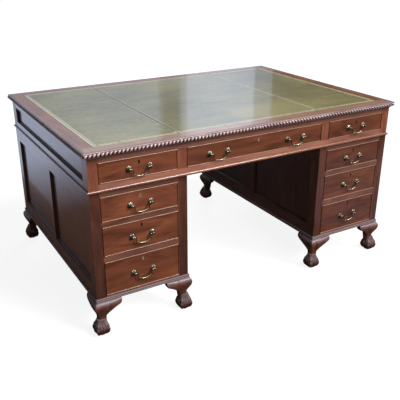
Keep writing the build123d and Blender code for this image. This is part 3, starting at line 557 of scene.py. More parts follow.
def bracket_wing(sizes):
    """A wing in its corner's frame: a rounded slab above the wing's lower line, swelling with the knee.

    The front face follows the leg's outer face at each height, and flattens towards the tip.
    """
    line = smooth_line(WING_LINE, WING_GRID[0])
    reach, low = line[:, [0]], line[:, [1]]
    across, tall = rounded_square(round_turns(WING_GRID[1]), WING_POWER)
    height = (FOOT_TOP + low) / 2 + (FOOT_TOP - low) / 2 * tall
    levels = smooth_line(LEG_LEVELS, LEG_GRID[0])[::-1]
    swell = np.interp(height, levels[:, 0], levels[:, 1])
    front = np.minimum(swell, 0) * (1 - TIP_FLATNESS * (reach / line[-1, 0]) ** 2)
    deep = front + (sizes.wing_thickness - front) * (across + 1) / 2
    return grid(reach, deep, height)


def claw_ball(sizes):
    """The ball: latitude rings of a sphere that stands on the floor."""
    down = np.radians(np.linspace(BALL_POLE, 180 - BALL_POLE, BALL_GRID[0]))[:, None]
    turns = round_turns(BALL_GRID[1])
    radius = sizes.ball_radius
    x = sizes.ball_inset + radius * np.sin(down) * np.cos(turns)
    y = sizes.ball_inset + radius * np.sin(down) * np.sin(turns)
    return skin(grid(x, y, radius + radius * np.cos(down)))


def claw(sizes):
    """The claw round the ball, in polar form: at each height the radius is

    web + reach * (sum over the toes of exp(-((turn - toe) / half angle) ** 2))
    + rise * (the same sum over the tendons between the toes).
    """
    levels = smooth_line(CLAW_LEVELS, CLAW_GRID[0])
    height, web, reach, rise, half = (levels[:, [column]] for column in range(5))
    turns = round_turns(CLAW_GRID[1])
    toes = ridges(turns, TOE_TURNS, half[:, :, None])
    tendons = ridges(turns, TENDON_TURNS, TENDON_HALF)
    radius = web + reach * toes + rise * tendons
    heading = turns + FRONT_TOE
    x = sizes.ball_inset + radius * np.cos(heading)
    y = sizes.ball_inset + radius * np.sin(heading)
    hollow = np.clip(1 - toes - tendons, 0, 1) * np.clip(reach / SHADE_AND_DIRT_REACH, 0, 1) * CLAW_SHADE_AND_DIRT
    return skin(grid(x, y, height), hollow=hollow)


def ridges(turns, places, half):
    """Round ridges at some angles: the sum of exp(-((turn - place) / half) ** 2)."""
    away = (turns[:, None] - places + math.pi) % (2 * math.pi) - math.pi
    return np.exp(-((away / half) ** 2)).sum(axis=-1)


def petal_rose(x, z, sizes):
    """A brass rose on a drawer front: rings that shrink from its petalled rim to the neck of the post.

    The rim's radius is lessened between the petals by notch * (1 - petal), where petal is
    |cos(petals / 2 * turn)| ** power, and the height is
    rim + rise * t ** power + cup * sin(pi * t) * (petal - 1 / 2), where t runs from 0 at the rim to 1 at
    the neck. The first ring is let down to the drawer front.
    """
    inward = np.linspace(0, 1, ROSE_GRID[0])[:, None]
    turns = round_turns(ROSE_GRID[1])
    petal = np.abs(np.cos(ROSE_PETALS / 2 * turns)) ** PETAL_POWER
    rim = sizes.rose_radius * (1 - PETAL_NOTCH * (1 - petal))
    radius = rim + (ROSE_NECK - rim) * inward
    height = ROSE_RIM + ROSE_RISE * inward**RISE_POWER + ROSE_CUP * np.sin(np.pi * inward) * (petal - 0.5)
    hollow = (1 - petal) * np.sin(np.pi * inward) ** 0.5
    radius, height, hollow = (
        np.vstack([part[:1] * keep, part]) for part, keep in ((radius, 1), (height, 0), (hollow, 1))
    )
    across, up = x + radius * np.cos(turns), z + radius * np.sin(turns)
    return skin(grid(across, -HALF_CASE[1] - height, up), hollow=hollow)


def claw_foot(sizes):
    """All shells of one foot in its corner's frame: inwards along the front, inwards, and up."""
    wing = bracket_wing(sizes)
    return [cabriole_leg(), skin(wing), skin(wing[..., [1, 0, 2]]), claw_ball(sizes), claw(sizes)]


def new_group(name, inputs, outputs):
    """An empty shader group with sockets of some kinds: the group, its inputs' values and its outputs."""
    group = bpy.data.node_groups.new(name, "ShaderNodeTree")
    for side, sockets in (("INPUT", inputs), ("OUTPUT", outputs)):
        for label, kind in sockets.items():
            group.interface.new_socket(name=label, in_out=side, socket_type=f"NodeSocket{kind}")
    return group, group.nodes.new("NodeGroupInput").outputs, group.nodes.new("NodeGroupOutput").inputs


def fill(tree, sockets, values):
    """Sets sockets to plain values, or links them to other sockets."""
    for name, value in values.items():
        if isinstance(value, NodeSocket):
            tree.links.new(value, sockets[name])
        else:
            sockets[name].default_value = value


def add_node(tree, kind, inputs=None, **settings):
    """A node with its settings, its inputs set to values or linked to sockets."""
    made = tree.nodes.new(kind)
    for name, value in settings.items():
        setattr(made, name, value)
    fill(tree, made.inputs, inputs or {})
    return made


def calculate(tree, operation, *values):
    """The result of a Math node on values or sockets."""
    return add_node(tree, "ShaderNodeMath", dict(enumerate(values)), operation=operation).outputs[0]


def vector_math(tree, operation, *values):
    """The outputs of a Vector Math node on values or sockets."""
    return add_node(tree, "ShaderNodeVectorMath", dict(enumerate(values)), operation=operation).outputs


def absolute(tree, value):
    """A value without its sign."""
    return calculate(tree, "ABSOLUTE", value)


def distance(tree, value, place):
    """How far a value is from a place."""
    return absolute(tree, calculate(tree, "SUBTRACT", value, place))


def weighted(tree, *parts):
    """The sum of some values, each times its weight."""
    total = 0.0
    for value, weight in parts:
        total = calculate(tree, "MULTIPLY_ADD", value, weight, total)
    return total


def object_place(tree):
    """The point that is shaded, in its object's own frame."""
    return add_node(tree, "ShaderNodeTexCoord").outputs["Object"]


def facing(tree):
    """The way that the shaded point faces."""
    return add_node(tree, "ShaderNodeNewGeometry").outputs["Normal"]


def split(tree, vector):
    """The parts of a vector: X, Y and Z."""
    return add_node(tree, "ShaderNodeSeparateXYZ", {0: vector}).outputs


def mix_colours(tree, factor, first, second, blend="MIX"):
    """A colour between two, by a factor; or the first with the second blended on."""
    inputs = {"Factor": factor, 6: first, 7: second}
    return add_node(tree, "ShaderNodeMix", inputs, data_type="RGBA", blend_type=blend).outputs[2]


def ramp(tree, value, low, high):
    """A value stretched so that low becomes 0 and high becomes 1, kept within those."""
    inputs = {"Value": value, "From Min": low, "From Max": high}
    return add_node(tree, "ShaderNodeMapRange", inputs, clamp=True).outputs[0]


def noise(tree, vector, stretch, detail, distortion):
    """Noise on coordinates stretched by a factor on each axis, in lumps per metre."""
    mapped = add_node(tree, "ShaderNodeMapping", {"Vector": vector, "Scale": stretch}).outputs[0]
    inputs = {"Vector": mapped, "Scale": 1.0, "Detail": detail, "Distortion": distortion}
    return add_node(tree, "ShaderNodeTexNoise", inputs).outputs[0]


def wood_group():
    """Wood with its grain along X: broad figure, streaks and pores, as colour, roughness and height."""
    inputs = {"Grain": "Vector", "Dark": "Color", "Light": "Color"}
    outputs = {"Colour": "Color", "Roughness": "Float", "Height": "Float"}
    group, given, result = new_group("Wood Grain", inputs, outputs)
    layers = (noise(group, given["Grain"], *settings) for settings in WOOD_NOISES)
    figure, streak, fibre, speck, warmth = layers
    pore = ramp(group, speck, *PORES)
    mixed = weighted(group, (streak, 0.20), (figure, 0.74), (fibre, 0.10))
    tone = ramp(group, mixed, *WOOD_RANGE)
    flecked = calculate(group, "MULTIPLY", tone, calculate(group, "MULTIPLY_ADD", pore, -0.35, 1.0))
    plain = mix_colours(group, flecked, given["Dark"], given["Light"])
    cool, warm = (0.94, 0.90, 0.98, 1), (1.08, 1.10, 0.98, 1)
    tint = mix_colours(group, ramp(group, warmth, *WARMTH), cool, warm)
    tinted = mix_colours(group, 1.0, plain, tint, "MULTIPLY")
    matt = calculate(group, "MULTIPLY_ADD", streak, 0.10, 0.24)
    rough = calculate(group, "MULTIPLY_ADD", pore, 0.10, matt)
    height = calculate(group, "SUBTRACT", fibre, pore)
    fill(group, result, {"Colour": tinted, "Roughness": rough, "Height": height})
    return group


def grain_group():
    """Coordinates with X along the grain of a moulding or panel that faces to a side, from its normal."""
    group, _, result = new_group("Grain Round The Case", {}, {"Grain": "Vector"})
    normal = split(group, facing(group))
    end = calculate(group, "GREATER_THAN", absolute(group, normal["X"]), absolute(group, normal["Y"]))
    group.links.new(turned_by(group, object_place(group), end), result["Grain"])
    return group


def mitre_group():
    """Coordinates with X along the grain of the top's four border boards, split at their mitres."""
    group, given, result = new_group("Grain Of The Border", {"Difference": "Float"}, {"Grain": "Vector"})
    place = object_place(group)
    axes = split(group, place)
    reach = calculate(group, "SUBTRACT", absolute(group, axes["X"]), absolute(group, axes["Y"]))
    end = calculate(group, "GREATER_THAN", reach, given["Difference"])
    group.links.new(turned_by(group, place, end), result["Grain"])
    return group


def reordered(tree, place, order):
    """A place with its axes in another order, such as ZXY."""
    axes = split(tree, place)
    inputs = {index: axes[axis] for index, axis in enumerate(order)}
    return add_node(tree, "ShaderNodeCombineXYZ", inputs).outputs[0]


def turned_by(tree, place, end):
    """A place as it is, or with X and Y swapped where end is 1."""
    inputs = {"Factor": end, 4: place, 5: reordered(tree, place, "YXZ")}
    return add_node(tree, "ShaderNodeMix", inputs, data_type="VECTOR").outputs[1]


def straight_group(name, order):
    """Coordinates with X along a grain that runs one way: the desk's axes, the grain's first."""
    group, _, result = new_group(name, {}, {"Grain": "Vector"})
    group.links.new(reordered(group, object_place(group), order), result["Grain"])
    return group


upright_group = partial(straight_group, "Grain Upright", "ZXY")
deep_group = partial(straight_group, "Grain Front To Back", "YXZ")
wide_group = partial(straight_group, "Grain Left To Right", "XYZ")


@cache
def shared_group(build):
    """The one group that a function builds, made on first use."""
    return build()


def new_material(name):
    """An empty material: the material, its node tree and its Principled BSDF."""
    material = bpy.data.materials.new(name)
    material.use_nodes = True
    return material, material.node_tree, material.node_tree.nodes["Principled BSDF"]


def add_bump(tree, shader, height, depth):
    """Gives a shader a bump from a height."""
    inputs = {"Height": height, "Distance": depth, "Strength": BUMP_STRENGTH}
    fill(tree, shader.inputs, {"Normal": add_node(tree, "ShaderNodeBump", inputs).outputs[0]})


def use_group(tree, build, values=None):
    """The outputs of a node for a shared group, its inputs set to values or linked to sockets."""
    return add_node(tree, "ShaderNodeGroup", values, node_tree=shared_group(build)).outputs


def wood_material(name, grain, streak_tones, gloss, shift, *coats, grain_values=None):
    """Wood between two tones with its grain in one direction, under coats: a mask and a tone each."""
    material, tree, shader = new_material(name)
    direction = use_group(tree, grain, grain_values)[0]
    moved = add_node(tree, "ShaderNodeMapping", {"Vector": direction, "Location": shift}).outputs[0]
    dark, light = streak_tones
    wood = use_group(tree, wood_group, {"Grain": moved, "Dark": (*dark, 1), "Light": (*light, 1)})
    fill(tree, shader.inputs, {"Base Color": wood["Colour"], "Roughness": wood["Roughness"], **gloss})
    add_bump(tree, shader, wood["Height"], WOOD_BUMP)
    for mask, tone in coats:
        paint_over(material, mask, tone)
    return material


def tones(colours, wood, shade=1.0):
    """The tones of a wood's dark and light streaks, both times a shade."""
    return [np.array(getattr(colours, f"{wood}_{tone}")) * shade for tone in ("dark", "light")]


def paint_over(material, mask, tone):
    """Lays a tone over a material's colour where a mask says."""
    tree = material.node_tree
    socket = tree.nodes["Principled BSDF"].inputs["Base Color"]
    under = socket.links[0].from_socket
    tree.links.new(mix_colours(tree, mask(tree), under, (*tone, 1)), socket)


def hollow_mask(tree):
    """The hollows of a carved piece, from its own attribute: painted shade and grime on wood, patina on
    brass.
    """
    hollow = add_node(tree, "ShaderNodeAttribute", attribute_name="hollow").outputs["Fac"]
    return ramp(tree, hollow, 0.15, 0.85)


def height_mask(tree, low, high, most):
    """From nothing at one height to most at another."""
    height = split(tree, object_place(tree))["Z"]
    return calculate(tree, "MULTIPLY", ramp(tree, height, low, high), most)


# Feet darker towards the floor; painted shade low on the posts, under the top, and under the waist
floor_mask = partial(height_mask, low=LEG_LEVELS[4][0], high=0.02, most=0.42)
low_shade_mask = partial(height_mask, low=0.48, high=FOOT_TOP, most=0.4)
shade_mask = partial(height_mask, low=CENTRE_DRAWER[1][2] - 0.015, high=EDGE_LOW[2], most=0.65)
waist_shade_mask = partial(height_mask, low=SIDE_DRAWER[1][2] - 0.004, high=PEDESTALS["left"][1][2], most=0.65)


def painted_sheen_mask(tree, low=0.0, high=0.65, most=0.6):
    """Faces that look up, given a painted sheen: from nothing where the normal's Z is low to most where it
    is high.
    """
    return calculate(tree, "MULTIPLY", ramp(tree, split(tree, facing(tree))["Z"], low, high), most)


def front_board_mask(tree, most=0.35):
    """The front board of the top's border, where sleeves have rubbed it pale."""
    deep = split(tree, object_place(tree))["Y"]
    before = calculate(tree, "LESS_THAN", deep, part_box("left_leather")[0].y)
    return calculate(tree, "MULTIPLY", before, most)


def bead_highlight_mask(tree):
    """The level cock beads, given a painted highlight: before the front face, and not at the sides of
    their drawer.
    """
    axes = split(tree, object_place(tree))
    before = calculate(tree, "LESS_THAN", axes["Y"], BEAD_FACE)
    across = absolute(tree, axes["X"])
    centre_half = CENTRE_DRAWER[1][0]
    aside = calculate(tree, "GREATER_THAN", across, centre_half)
    middle = (SIDE_DRAWER[0][0] + SIDE_DRAWER[1][0]) / 2
    side_half = (SIDE_DRAWER[1][0] - SIDE_DRAWER[0][0]) / 2
    offset = distance(tree, across, calculate(tree, "MULTIPLY", aside, middle))
    limit = calculate(tree, "MULTIPLY_ADD", aside, side_half - centre_half, centre_half - BEAD_WIDTH)
    return calculate(tree, "MULTIPLY", before, calculate(tree, "LESS_THAN", offset, limit))


def nodes_ending(ending):
    """The CAD nodes whose names end in some word."""
    return [node for node in frame["nodes"] if node.endswith(ending)]


def dress(material, *nodes):
    """Gives CAD nodes a material in place of their plain one."""
    for node in nodes:
        mesh = frame["nodes"][node].data
        mesh.materials.clear()
        mesh.materials.append(material)


def tooling_group():
    """Gilt tooling and the groove round a leather, as masks.

    A distance from the nearest edge is the lesser of half size - |place - middle| on X and on Y. The
    groove follows the leather's own edges, and the gilt border the edges of the whole field of leathers.
    """
    inputs = dict.fromkeys(("Middle", "Half Size", "Field"), "Vector")
    inputs.update(dict.fromkeys(("Seam", "Seam Gilt"), "Float"))
    group, given, result = new_group("Gilt Tooling", inputs, {"Gilt": "Float", "Groove": "Float"})
    place = object_place(group)
    offset = vector_math(group, "SUBTRACT", place, given["Middle"])[0]
    own, _, _ = edge_distance(group, offset, given["Half Size"])
    field, along, reach = edge_distance(group, place, given["Field"])
    wave = calculate(group, "MULTIPLY", calculate(group, "PINGPONG", along, POINT_PITCH), POINT_SLOPE)
    points = calculate(group, "SUBTRACT", wave, distance(group, field, POINT_PLACE))
    inner = calculate(group, "GREATER_THAN", field, SEAM_START)
    seam = calculate(group, "MULTIPLY", tooled_line(group, own, *SEAM_LINE), inner)
    aside = distance(group, reach["X"], given["Seam"])
    lozenge = calculate(group, "ADD", aside, distance(group, field, LOZENGE_PLACE))
    gilt = tooled_line(group, field, *BROAD_LINE)
    for mask, strength in (
        (tooled_line(group, field, *THIN_LINE), 0.9),
        (ramp(group, points, 0.0, POINT_FADE), 0.6),
        (seam, given["Seam Gilt"]),
        (ramp(group, lozenge, *LOZENGE_EDGE), 1.0),
    ):
        gilt = calculate(group, "MAXIMUM", gilt, calculate(group, "MULTIPLY", mask, strength))
    blind = tooled_line(group, field, *BLIND_LINE)
    groove = calculate(group, "MAXIMUM", ramp(group, own, *GROOVE_EDGE), blind)
    fill(group, result, {"Gilt": gilt, "Groove": groove})
    return group


def edge_distance(tree, place, half_size):
    """How far a place is inside a rectangle round the origin, how far along its next side, and |place|."""
    size = vector_math(tree, "ABSOLUTE", place)[0]
    inside = vector_math(tree, "SUBTRACT", half_size, size)[0]
    depth, axes = split(tree, inside), split(tree, size)
    on_side = calculate(tree, "LESS_THAN", depth["X"], depth["Y"])
    along = add_node(tree, "ShaderNodeMix", {"Factor": on_side, 2: axes["X"], 3: axes["Y"]}).outputs[0]
    return calculate(tree, "MINIMUM", depth["X"], depth["Y"]), along, axes


def tooled_line(tree, edge, place, half_width):
    """A mask that is 1 on a line at a distance from the edge and fades to 0 at its sides."""
    return ramp(tree, distance(tree, edge, place), half_width, half_width * 0.4)


def leather_material(name, node, colours, seam_gilt):
    """Green hide with a fine grain, worn patches, and gilt tooling inside the edges of the field."""
    low, high = (np.array(corner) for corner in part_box(node))
    field = np.array(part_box("right_leather")[1])
    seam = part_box("right_leather")[0].x
    material, tree, shader = new_material(name)
    place = object_place(tree)
    patch, streak, scuff = (noise(tree, place, *settings) for settings in HIDE_NOISES)
    cells = add_node(tree, "ShaderNodeTexVoronoi", {"Vector": place, "Scale": HIDE_CELLS}).outputs
    from_arm = add_node(tree, "ShaderNodeMapping", {"Vector": place, **ARM_REST}, vector_type="TEXTURE")
    away = vector_math(tree, "LENGTH", from_arm.outputs[0])["Value"]
    near = ramp(tree, away, *ARM_WEAR)
    worn = weighted(tree, (patch, 0.55), (streak, 0.30), (scuff, 0.25), (near, 0.16))
    dark, light = tones(colours, "leather")
    hide = mix_colours(tree, ramp(tree, worn, *HIDE_RANGE), (*dark, 1), (*light, 1))
    values = {"Middle": (low + high) / 2, "Half Size": (high - low) / 2, "Field": field}
    values.update({"Seam": seam, "Seam Gilt": seam_gilt})
    tooling = use_group(tree, tooling_group, values)
    rubbed = calculate(tree, "MULTIPLY", tooling["Gilt"], ramp(tree, scuff, *SCUFFS))
    painted = mix_colours(tree, rubbed, hide, (*colours.gilt, 1))
    grooved = mix_colours(tree, tooling["Groove"], painted, (*GROOVE_TONE, 1))
    rough = calculate(tree, "MULTIPLY_ADD", worn, 0.20, 0.30)
    wax = calculate(tree, "MULTIPLY_ADD", tooling["Groove"], -0.8, 0.8)
    fill(tree, shader.inputs, {"Base Color": grooved, "Roughness": rough})
    fill(tree, shader.inputs, {"Coat Weight": wax, "Coat Roughness": 0.095})
    height = calculate(tree, "MULTIPLY_ADD", tooling["Gilt"], -1.5, cells["Distance"])
    add_bump(tree, shader, height, HIDE_BUMP)
    return material


def brass_material(name, colours, bright_tone, reach, inlay):
    """Antique brass: dark patina in patches, rubbed bright between them; an inlay's tone where flush."""
    material, tree, shader = new_material(name)
    place = object_place(tree)
    patch, fine = (noise(tree, place, *settings) for settings in BRASS_NOISES)
    bright = ramp(tree, calculate(tree, "MULTIPLY_ADD", fine, 0.35, patch), *reach)
    tone = mix_colours(tree, bright, (*colours.patina, 1), (*bright_tone, 1))
    flush = calculate(tree, "GREATER_THAN", split(tree, place)["Y"], BRASS_FACE)
    inlaid = mix_colours(tree, flush, tone, (*inlay, 1))
    metal = calculate(tree, "MULTIPLY_ADD", flush, -0.8, 1.0)
    rough = calculate(tree, "MULTIPLY_ADD", bright, -0.12, 0.40)
    fill(tree, shader.inputs, {"Base Color": inlaid, "Metallic": metal, "Roughness": rough})
    add_bump(tree, shader, fine, BRASS_BUMP)
    return material


def ray_mask(tree):
    """1 for rays from the camera and for those that gloss or glass sends on."""
    path = add_node(tree, "ShaderNodeLightPath").outputs
    shiny = calculate(tree, "MAXIMUM", path["Is Glossy Ray"], path["Is Transmission Ray"])
    return calculate(tree, "MAXIMUM", path["Is Camera Ray"], shiny)


def room(settings):
    """Even light from all sides, seen as white by the camera and in reflections."""
    world = bpy.data.worlds.new("Room")
    world.use_nodes = True
    tree = world.node_tree
    tree.nodes.clear()
    even = {"Color": (0.94, 0.97, 1.0, 1), "Strength": settings.room_light}
    soft = add_node(tree, "ShaderNodeBackground", even)
    white = add_node(tree, "ShaderNodeBackground", {"Color": (1, 1, 1, 1), "Strength": 1.0})
    mixed = add_node(
        tree, "ShaderNodeMixShader", {0: ray_mask(tree), 1: soft.outputs[0], 2: white.outputs[0]}
    )
    out = add_node(tree, "ShaderNodeOutputWorld")
    tree.links.new(mixed.outputs[0], out.inputs["Surface"])
    bpy.context.scene.world = world


def floor_material(settings):
    """A pale floor that shows white to the camera and keeps a faint shadow."""
    material, tree, shader = new_material("pale_floor")
    fill(tree, shader.inputs, {"Base Color": (0.25, 0.25, 0.25, 1), "Roughness": 0.9})
    glow = calculate(tree, "MULTIPLY", ray_mask(tree), settings.floor_glow)
    fill(tree, shader.inputs, {"Emission Color": (1, 1, 1, 1), "Emission Strength": glow})
    shader.inputs["Specular IOR Level"].default_value = 0.0
    return material


def add_sheet(name, corners, material):
    """A flat sheet of the stage, from its corners in order."""
    mesh = bpy.data.meshes.new(name)
    mesh.from_pydata(corners, [], [(0, 1, 2, 3)])
    mesh.materials.append(material)
    sheet = bpy.data.objects.new(name, mesh)
    bpy.context.collection.objects.link(sheet)
    return sheet


def add_card(name, corners, tone, *fades):
    """A studio card, set up only for the polish to mirror.

    A fade is an axis, the places where it begins and ends, and the tone where it begins.
    """
    material, tree, _ = new_material(name)
    axes = split(tree, object_place(tree))
    tone_there = (*tone, 1)
    for axis, begin, end, first_tone in fades:
        tone_there = mix_colours(tree, ramp(tree, axes[axis], begin, end), (*first_tone, 1), tone_there)
    glow = add_node(tree, "ShaderNodeEmission", {"Color": tone_there})
    tree.links.new(glow.outputs[0], tree.nodes["Material Output"].inputs["Surface"])
    card = add_sheet(name, corners, material)
    card.visible_camera = False
    card.visible_diffuse = False
    card.visible_shadow = False


def floor_corners(low_x, low_y, high_x, high_y, height):
    """Corners of a level sheet."""
    outline = ((low_x, low_y), (high_x, low_y), (high_x, high_y), (low_x, high_y))
    return [(*corner, height) for corner in outline]


def wall_corners(first, last, high):
    """Corners of a card that stands on the floor between two points."""
    return [(*first, 0), (*last, 0), (*last, high), (*first, high)]


def heading_corners(settings, first, last, high):
    """Corners of a card that stands away from the camera, between two of its headings in degrees."""
    x, y, _ = settings.camera_place
    turns = np.radians((first, last))
    ends = np.stack([x + CARD_AWAY * np.sin(turns), y + CARD_AWAY * np.cos(turns)], axis=-1)
    return wall_corners(*ends, high)


def add_cards(settings):
    """Dark walls and ground that the polish mirrors, and pale cards that give the top its sheen."""
    for name, (corners, *tone_and_fades) in GROUNDS.items():
        add_card(name, floor_corners(*corners), *tone_and_fades)
    for name, wall in WALLS.items():
        add_card(name, wall_corners(*wall), DARK)
    for name, (first, last, tone) in SHEEN.items():
        fades = [(*fade, tone * part) for *fade, part in SHEEN_FADES]
        add_card(name, heading_corners(settings, first, last, SHEEN_HIGH), tone, *fades)
    add_card("gap", heading_corners(settings, *GAP_CORNERS), DARK, GAP_FADE)


def add_lamp(light, place, target):
    """A lamp at a place, aimed at a point."""
    lamp = bpy.data.objects.new(light.name, light)
    lamp.location = place
    lamp.rotation_euler = (Vector(place) - Vector(target)).to_track_quat("Z", "Y").to_euler()
    bpy.context.collection.objects.link(lamp)
    return lamp


def add_lamps():
    """A broad high light from the front, a nearer soft one, and one behind for the back and right end."""
    high = bpy.data.lights.new("high_light", "SUN")
    high.energy = SUN_STRENGTH
    high.angle = SUN_WIDTH
    add_lamp(high, SUN_PLACE, (0, 0, 0))
    for name, (place, energy) in SOFT_LAMPS.items():
        soft = bpy.data.lights.new(name, "AREA")
        soft.shape = "RECTANGLE"
        soft.size, soft.size_y = SOFT_SIZE
        soft.energy = energy
        add_lamp(soft, place, SOFT_AIM).visible_glossy = False


def add_camera(settings):
    """The camera at the photograph's viewing angle."""
    lens = bpy.data.cameras.new("Photographer")
    lens.sensor_fit = "HORIZONTAL"
    lens.sensor_width = 36
    lens.lens = settings.focal_length
    camera = bpy.data.objects.new("Photographer", lens)
    camera.location = settings.camera_place
    camera.rotation_euler = (math.pi / 2 - settings.camera_tilt, 0, -settings.camera_turn)
    bpy.context.collection.objects.link(camera)
    bpy.context.scene.camera = camera


class DESK_OT_carve_edge(Operator):
    """Carve the gadroons round the edge of the top"""

    bl_idname = "desk.carve_edge"
    bl_label = "Carve the Edge"

    def execute(self, context):
        colours = context.scene.desk_colours
        # Painted shade and grime in the hollows of the carving
        look = (grain_group, tones(colours, "edge"), WAXED, (0.6, 0.2, 0.3), (hollow_mask, colours.dirt_and_shade))
        wood = wood_material("carved_edge_wood", *look)
        shells = [gadrooned_edge(context.scene.desk_carving)]
        add_piece("gadrooned_edge", shells, wood, DESK, ["edge_moulding"])
        return {"FINISHED"}


class DESK_OT_carve_feet(Operator):
    """Carve a ball-and-claw foot under each corner of each pedestal"""

    bl_idname = "desk.carve_feet"
    bl_label = "Carve the Feet"

    def execute(self, context):
        colours = context.scene.desk_colours
        # Painted shade and grime in the hollows, darker towards the floor, and a painted sheen on faces
        # that look up
        coats = ((hollow_mask, colours.dirt_and_shade), (floor_mask, colours.dirt_and_shade), (painted_sheen_mask, colours.painted_sheen))
        look = (upright_group, tones(colours, "foot"), RUBBED, (0.1, 0.7, 0.4), *coats)
        wood = wood_material("carved_foot_wood", *look)
        foot = claw_foot(context.scene.desk_carving)
        for side, (low, high) in PEDESTALS.items():
            shells = []
            for x, inward_x in ((low[0], 1), (high[0], -1)):
                for y, inward_y in ((low[1], 1), (high[1], -1)):
                    for points, quads, triangles, depth in foot:
                        placed = points * (inward_x, inward_y, 1) + (x, y, 0)
                        shells.append(facing_out(placed, quads, triangles, depth))
            add_piece(f"{side}_ball_and_claw", shells, wood, DESK, [f"{side}_claw_feet"])
        return {"FINISHED"}


class DESK_OT_polish_case(Operator):
    """French-polish the frames, panels and mouldings"""

    bl_idname = "desk.polish_case"
    bl_label = "Polish the Case"

    def execute(self, context):
        colours = context.scene.desk_colours
        case, frames, rails, panels = (tones(colours, wood) for wood in ("case", "frame", "rail", "panel"))
        # The frieze rails lighter and bluer than the case: a painted sheen
        long_rails_with_sheen = tones(colours, "case", (1.32, 1.61, 1.94))
        feet = tones(colours, "foot", 0.75)
        # The panel beads near black: painted shade in the recesses round the panels
        beads = (colours.dirt_and_shade, colours.panel_dark)
        # Painted shade under the top, under the waist, and low on the left pedestal's posts
        shade, waist, low = ((mask, colours.dirt_and_shade) for mask in (shade_mask, waist_shade_mask, low_shade_mask))
        # A painted sheen on the base mouldings' faces that look up
        painted_sheen = (partial(painted_sheen_mask, low=-0.6, high=0.2), colours.painted_sheen)
        woods = {
            "frieze_post": (upright_group, case, SATIN, (0.3, 0.1, 0.2), shade),
            "frieze_rail": (wide_group, long_rails_with_sheen, POLISHED, (0.1, 0.4, 0.3), shade),
            "post": (upright_group, frames, POLISHED, (0.6, 0.1, 0.2), waist),
            "left_post": (upright_group, frames, POLISHED, (0.6, 0.1, 0.2), low, waist),
            "rail": (wide_group, rails, POLISHED, (0.5, 0.4, 0.3), waist),
            "side_rail": (deep_group, frames, POLISHED, (0.7, 0.2, 0.5)),
            "panel": (upright_group, panels, POLISHED, (0.2, 0.6, 0.1)),
            "frieze_panel": (grain_group, panels, POLISHED, (0.4, 0.3, 0.7)),
            "moulding": (grain_group, case, BURNISHED, (0.5, 0.8, 0.2)),
            "base_moulding": (grain_group, feet, DULL, (0.3, 0.8, 0.6), painted_sheen),
            "panel_bead": (grain_group, beads, POLISHED, (0.1, 0.1, 0.6)),
        }
        for name, look in woods.items():
            dress(wood_material(f"{name}_wood", *look), *CASE_NODES[name])
        mitres = {"Difference": HALF_CASE[0] - HALF_CASE[1]}
        rubbed = (front_board_mask, colours.border_rubbed)
        look = (mitre_group, tones(colours, "border"), WORN, (0.9, 0.1, 0.4), rubbed)
        dress(wood_material("border_wood", *look, grain_values=mitres), "top_border")
        return {"FINISHED"}


class DESK_OT_finish_drawers(Operator):
    """Polish the drawer fronts, and leave the linings of the case and the drawers in bare oak"""

    bl_idname = "desk.finish_drawers"
    bl_label = "Finish the Drawers"

    def execute(self, context):
        colours = context.scene.desk_colours
        # A painted highlight on the level cock beads
        bead_highlight = (bead_highlight_mask, colours.bead_highlight)
        for place, shade in FRONT_SHADES.items():
            look = (wide_group, tones(colours, "front", shade), POLISHED, (0.8 + shade, 0.5, 0.9), bead_highlight)
            dress(wood_material(f"{place}_front_wood", *look), f"{place}_drawer_front")
        oak = wood_material("lining_wood", deep_group, tones(colours, "oak"), BARE, (0.2, 0.9, 0.6))
        dress(oak, *nodes_ending("_drawer_box"))
        dress(oak, "drawer_runners", "inner_boards", "top_panel", "locating_dowels")
        return {"FINISHED"}


class DESK_OT_lay_leather(Operator):
    """Give the three leathers their grain, wear and gilt tooling"""

    bl_idname = "desk.lay_leather"
    bl_label = "Lay the Leather"

    def execute(self, context):
        colours = context.scene.desk_colours
        for place, seam_gilt in SEAM_GILT.items():
            node = f"{place}_leather"
            dress(leather_material(f"{place}_hide", node, colours, seam_gilt), node)
        return {"FINISHED"}


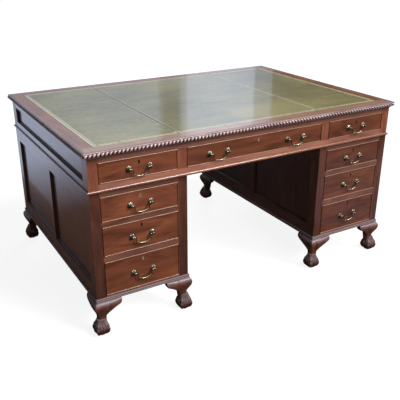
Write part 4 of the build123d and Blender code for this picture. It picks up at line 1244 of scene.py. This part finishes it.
class DESK_OT_fit_brass(Operator):
    """Finish the handles, escutcheons and locks in antique brass"""

    bl_idname = "desk.fit_brass"
    bl_label = "Fit the Brass"

    def execute(self, context):
        colours, sizes = context.scene.desk_colours, context.scene.desk_carving
        dull, bright = BRASS_RANGES
        brass = brass_material("antique_brass", colours, colours.brass, dull, colours.inlay)
        paint_over(brass, hollow_mask, colours.patina)
        blackened = brass_material("blackened_brass", colours, colours.brass, dull, colours.dirt_and_shade)
        handled = brass_material("handled_brass", colours, colours.rubbed_brass, bright, colours.inlay)
        dress(handled, *nodes_ending("_bail"))
        for node in nodes_ending("_brass"):
            dress(brass if node.startswith(BRIGHT_ESCUTCHEONS) else blackened, node)
        roses = {}
        for joint in frame["record"]["behaviour"]["joints"]:
            if joint["type"] == "hinge":
                x, _, z = joint["pos_m"]
                half = sizes.rose_spacing / 2
                pair = [petal_rose(x - half, z, sizes), petal_rose(x + half, z, sizes)]
                roses.setdefault(joint["parent"], []).extend(pair)
        for drawer, shells in roses.items():
            add_piece(f"{drawer}_roses", shells, brass, drawer, [])
        return {"FINISHED"}


class DESK_OT_set_stage(Operator):
    """Set up the floor, the light and the camera"""

    bl_idname = "desk.set_stage"
    bl_label = "Set the Stage"

    def execute(self, context):
        settings = context.scene.desk_studio
        context.scene.view_settings.view_transform = "Standard"
        room(settings)
        corners = floor_corners(-FLOOR_HALF, -FLOOR_HALF, FLOOR_HALF, FLOOR_HALF, 0)
        add_sheet("floor", corners, floor_material(settings))
        add_cards(settings)
        add_lamps()
        add_camera(settings)
        return {"FINISHED"}


class DESK_PT_tools(Panel):
    """The steps that build the desk, and the sizes and colours that they use"""

    bl_label = "Writing Desk"
    bl_space_type = "VIEW_3D"
    bl_region_type = "UI"
    bl_category = "Desk"

    def draw(self, context):
        for operator in OPERATORS:
            self.layout.operator(operator.bl_idname)
        for group in GROUPS:
            self.layout.label(text=group.__doc__)
            settings = getattr(context.scene, GROUPS[group])
            for name in group.__annotations__:
                self.layout.prop(settings, name)


GROUPS = {CarvingSizes: "desk_carving", FinishColours: "desk_colours", StudioSettings: "desk_studio"}
OPERATORS = (
    DESK_OT_carve_edge,
    DESK_OT_carve_feet,
    DESK_OT_polish_case,
    DESK_OT_finish_drawers,
    DESK_OT_lay_leather,
    DESK_OT_fit_brass,
    DESK_OT_set_stage,
)


def register():
    """Registers the classes and hangs their settings on the scene."""
    for group, name in GROUPS.items():
        bpy.utils.register_class(group)
        setattr(bpy.types.Scene, name, PointerProperty(type=group))
    for operator in OPERATORS:
        bpy.utils.register_class(operator)
    bpy.utils.register_class(DESK_PT_tools)


def unregister():
    """Takes away what register added."""
    bpy.utils.unregister_class(DESK_PT_tools)
    for operator in reversed(OPERATORS):
        bpy.utils.unregister_class(operator)
    for group, name in GROUPS.items():
        delattr(bpy.types.Scene, name)
        bpy.utils.unregister_class(group)


def main():
    register()
    for operator in OPERATORS:
        module, name = operator.bl_idname.split(".")
        getattr(getattr(bpy.ops, module), name)()


if __name__ == "__main__":
    main()
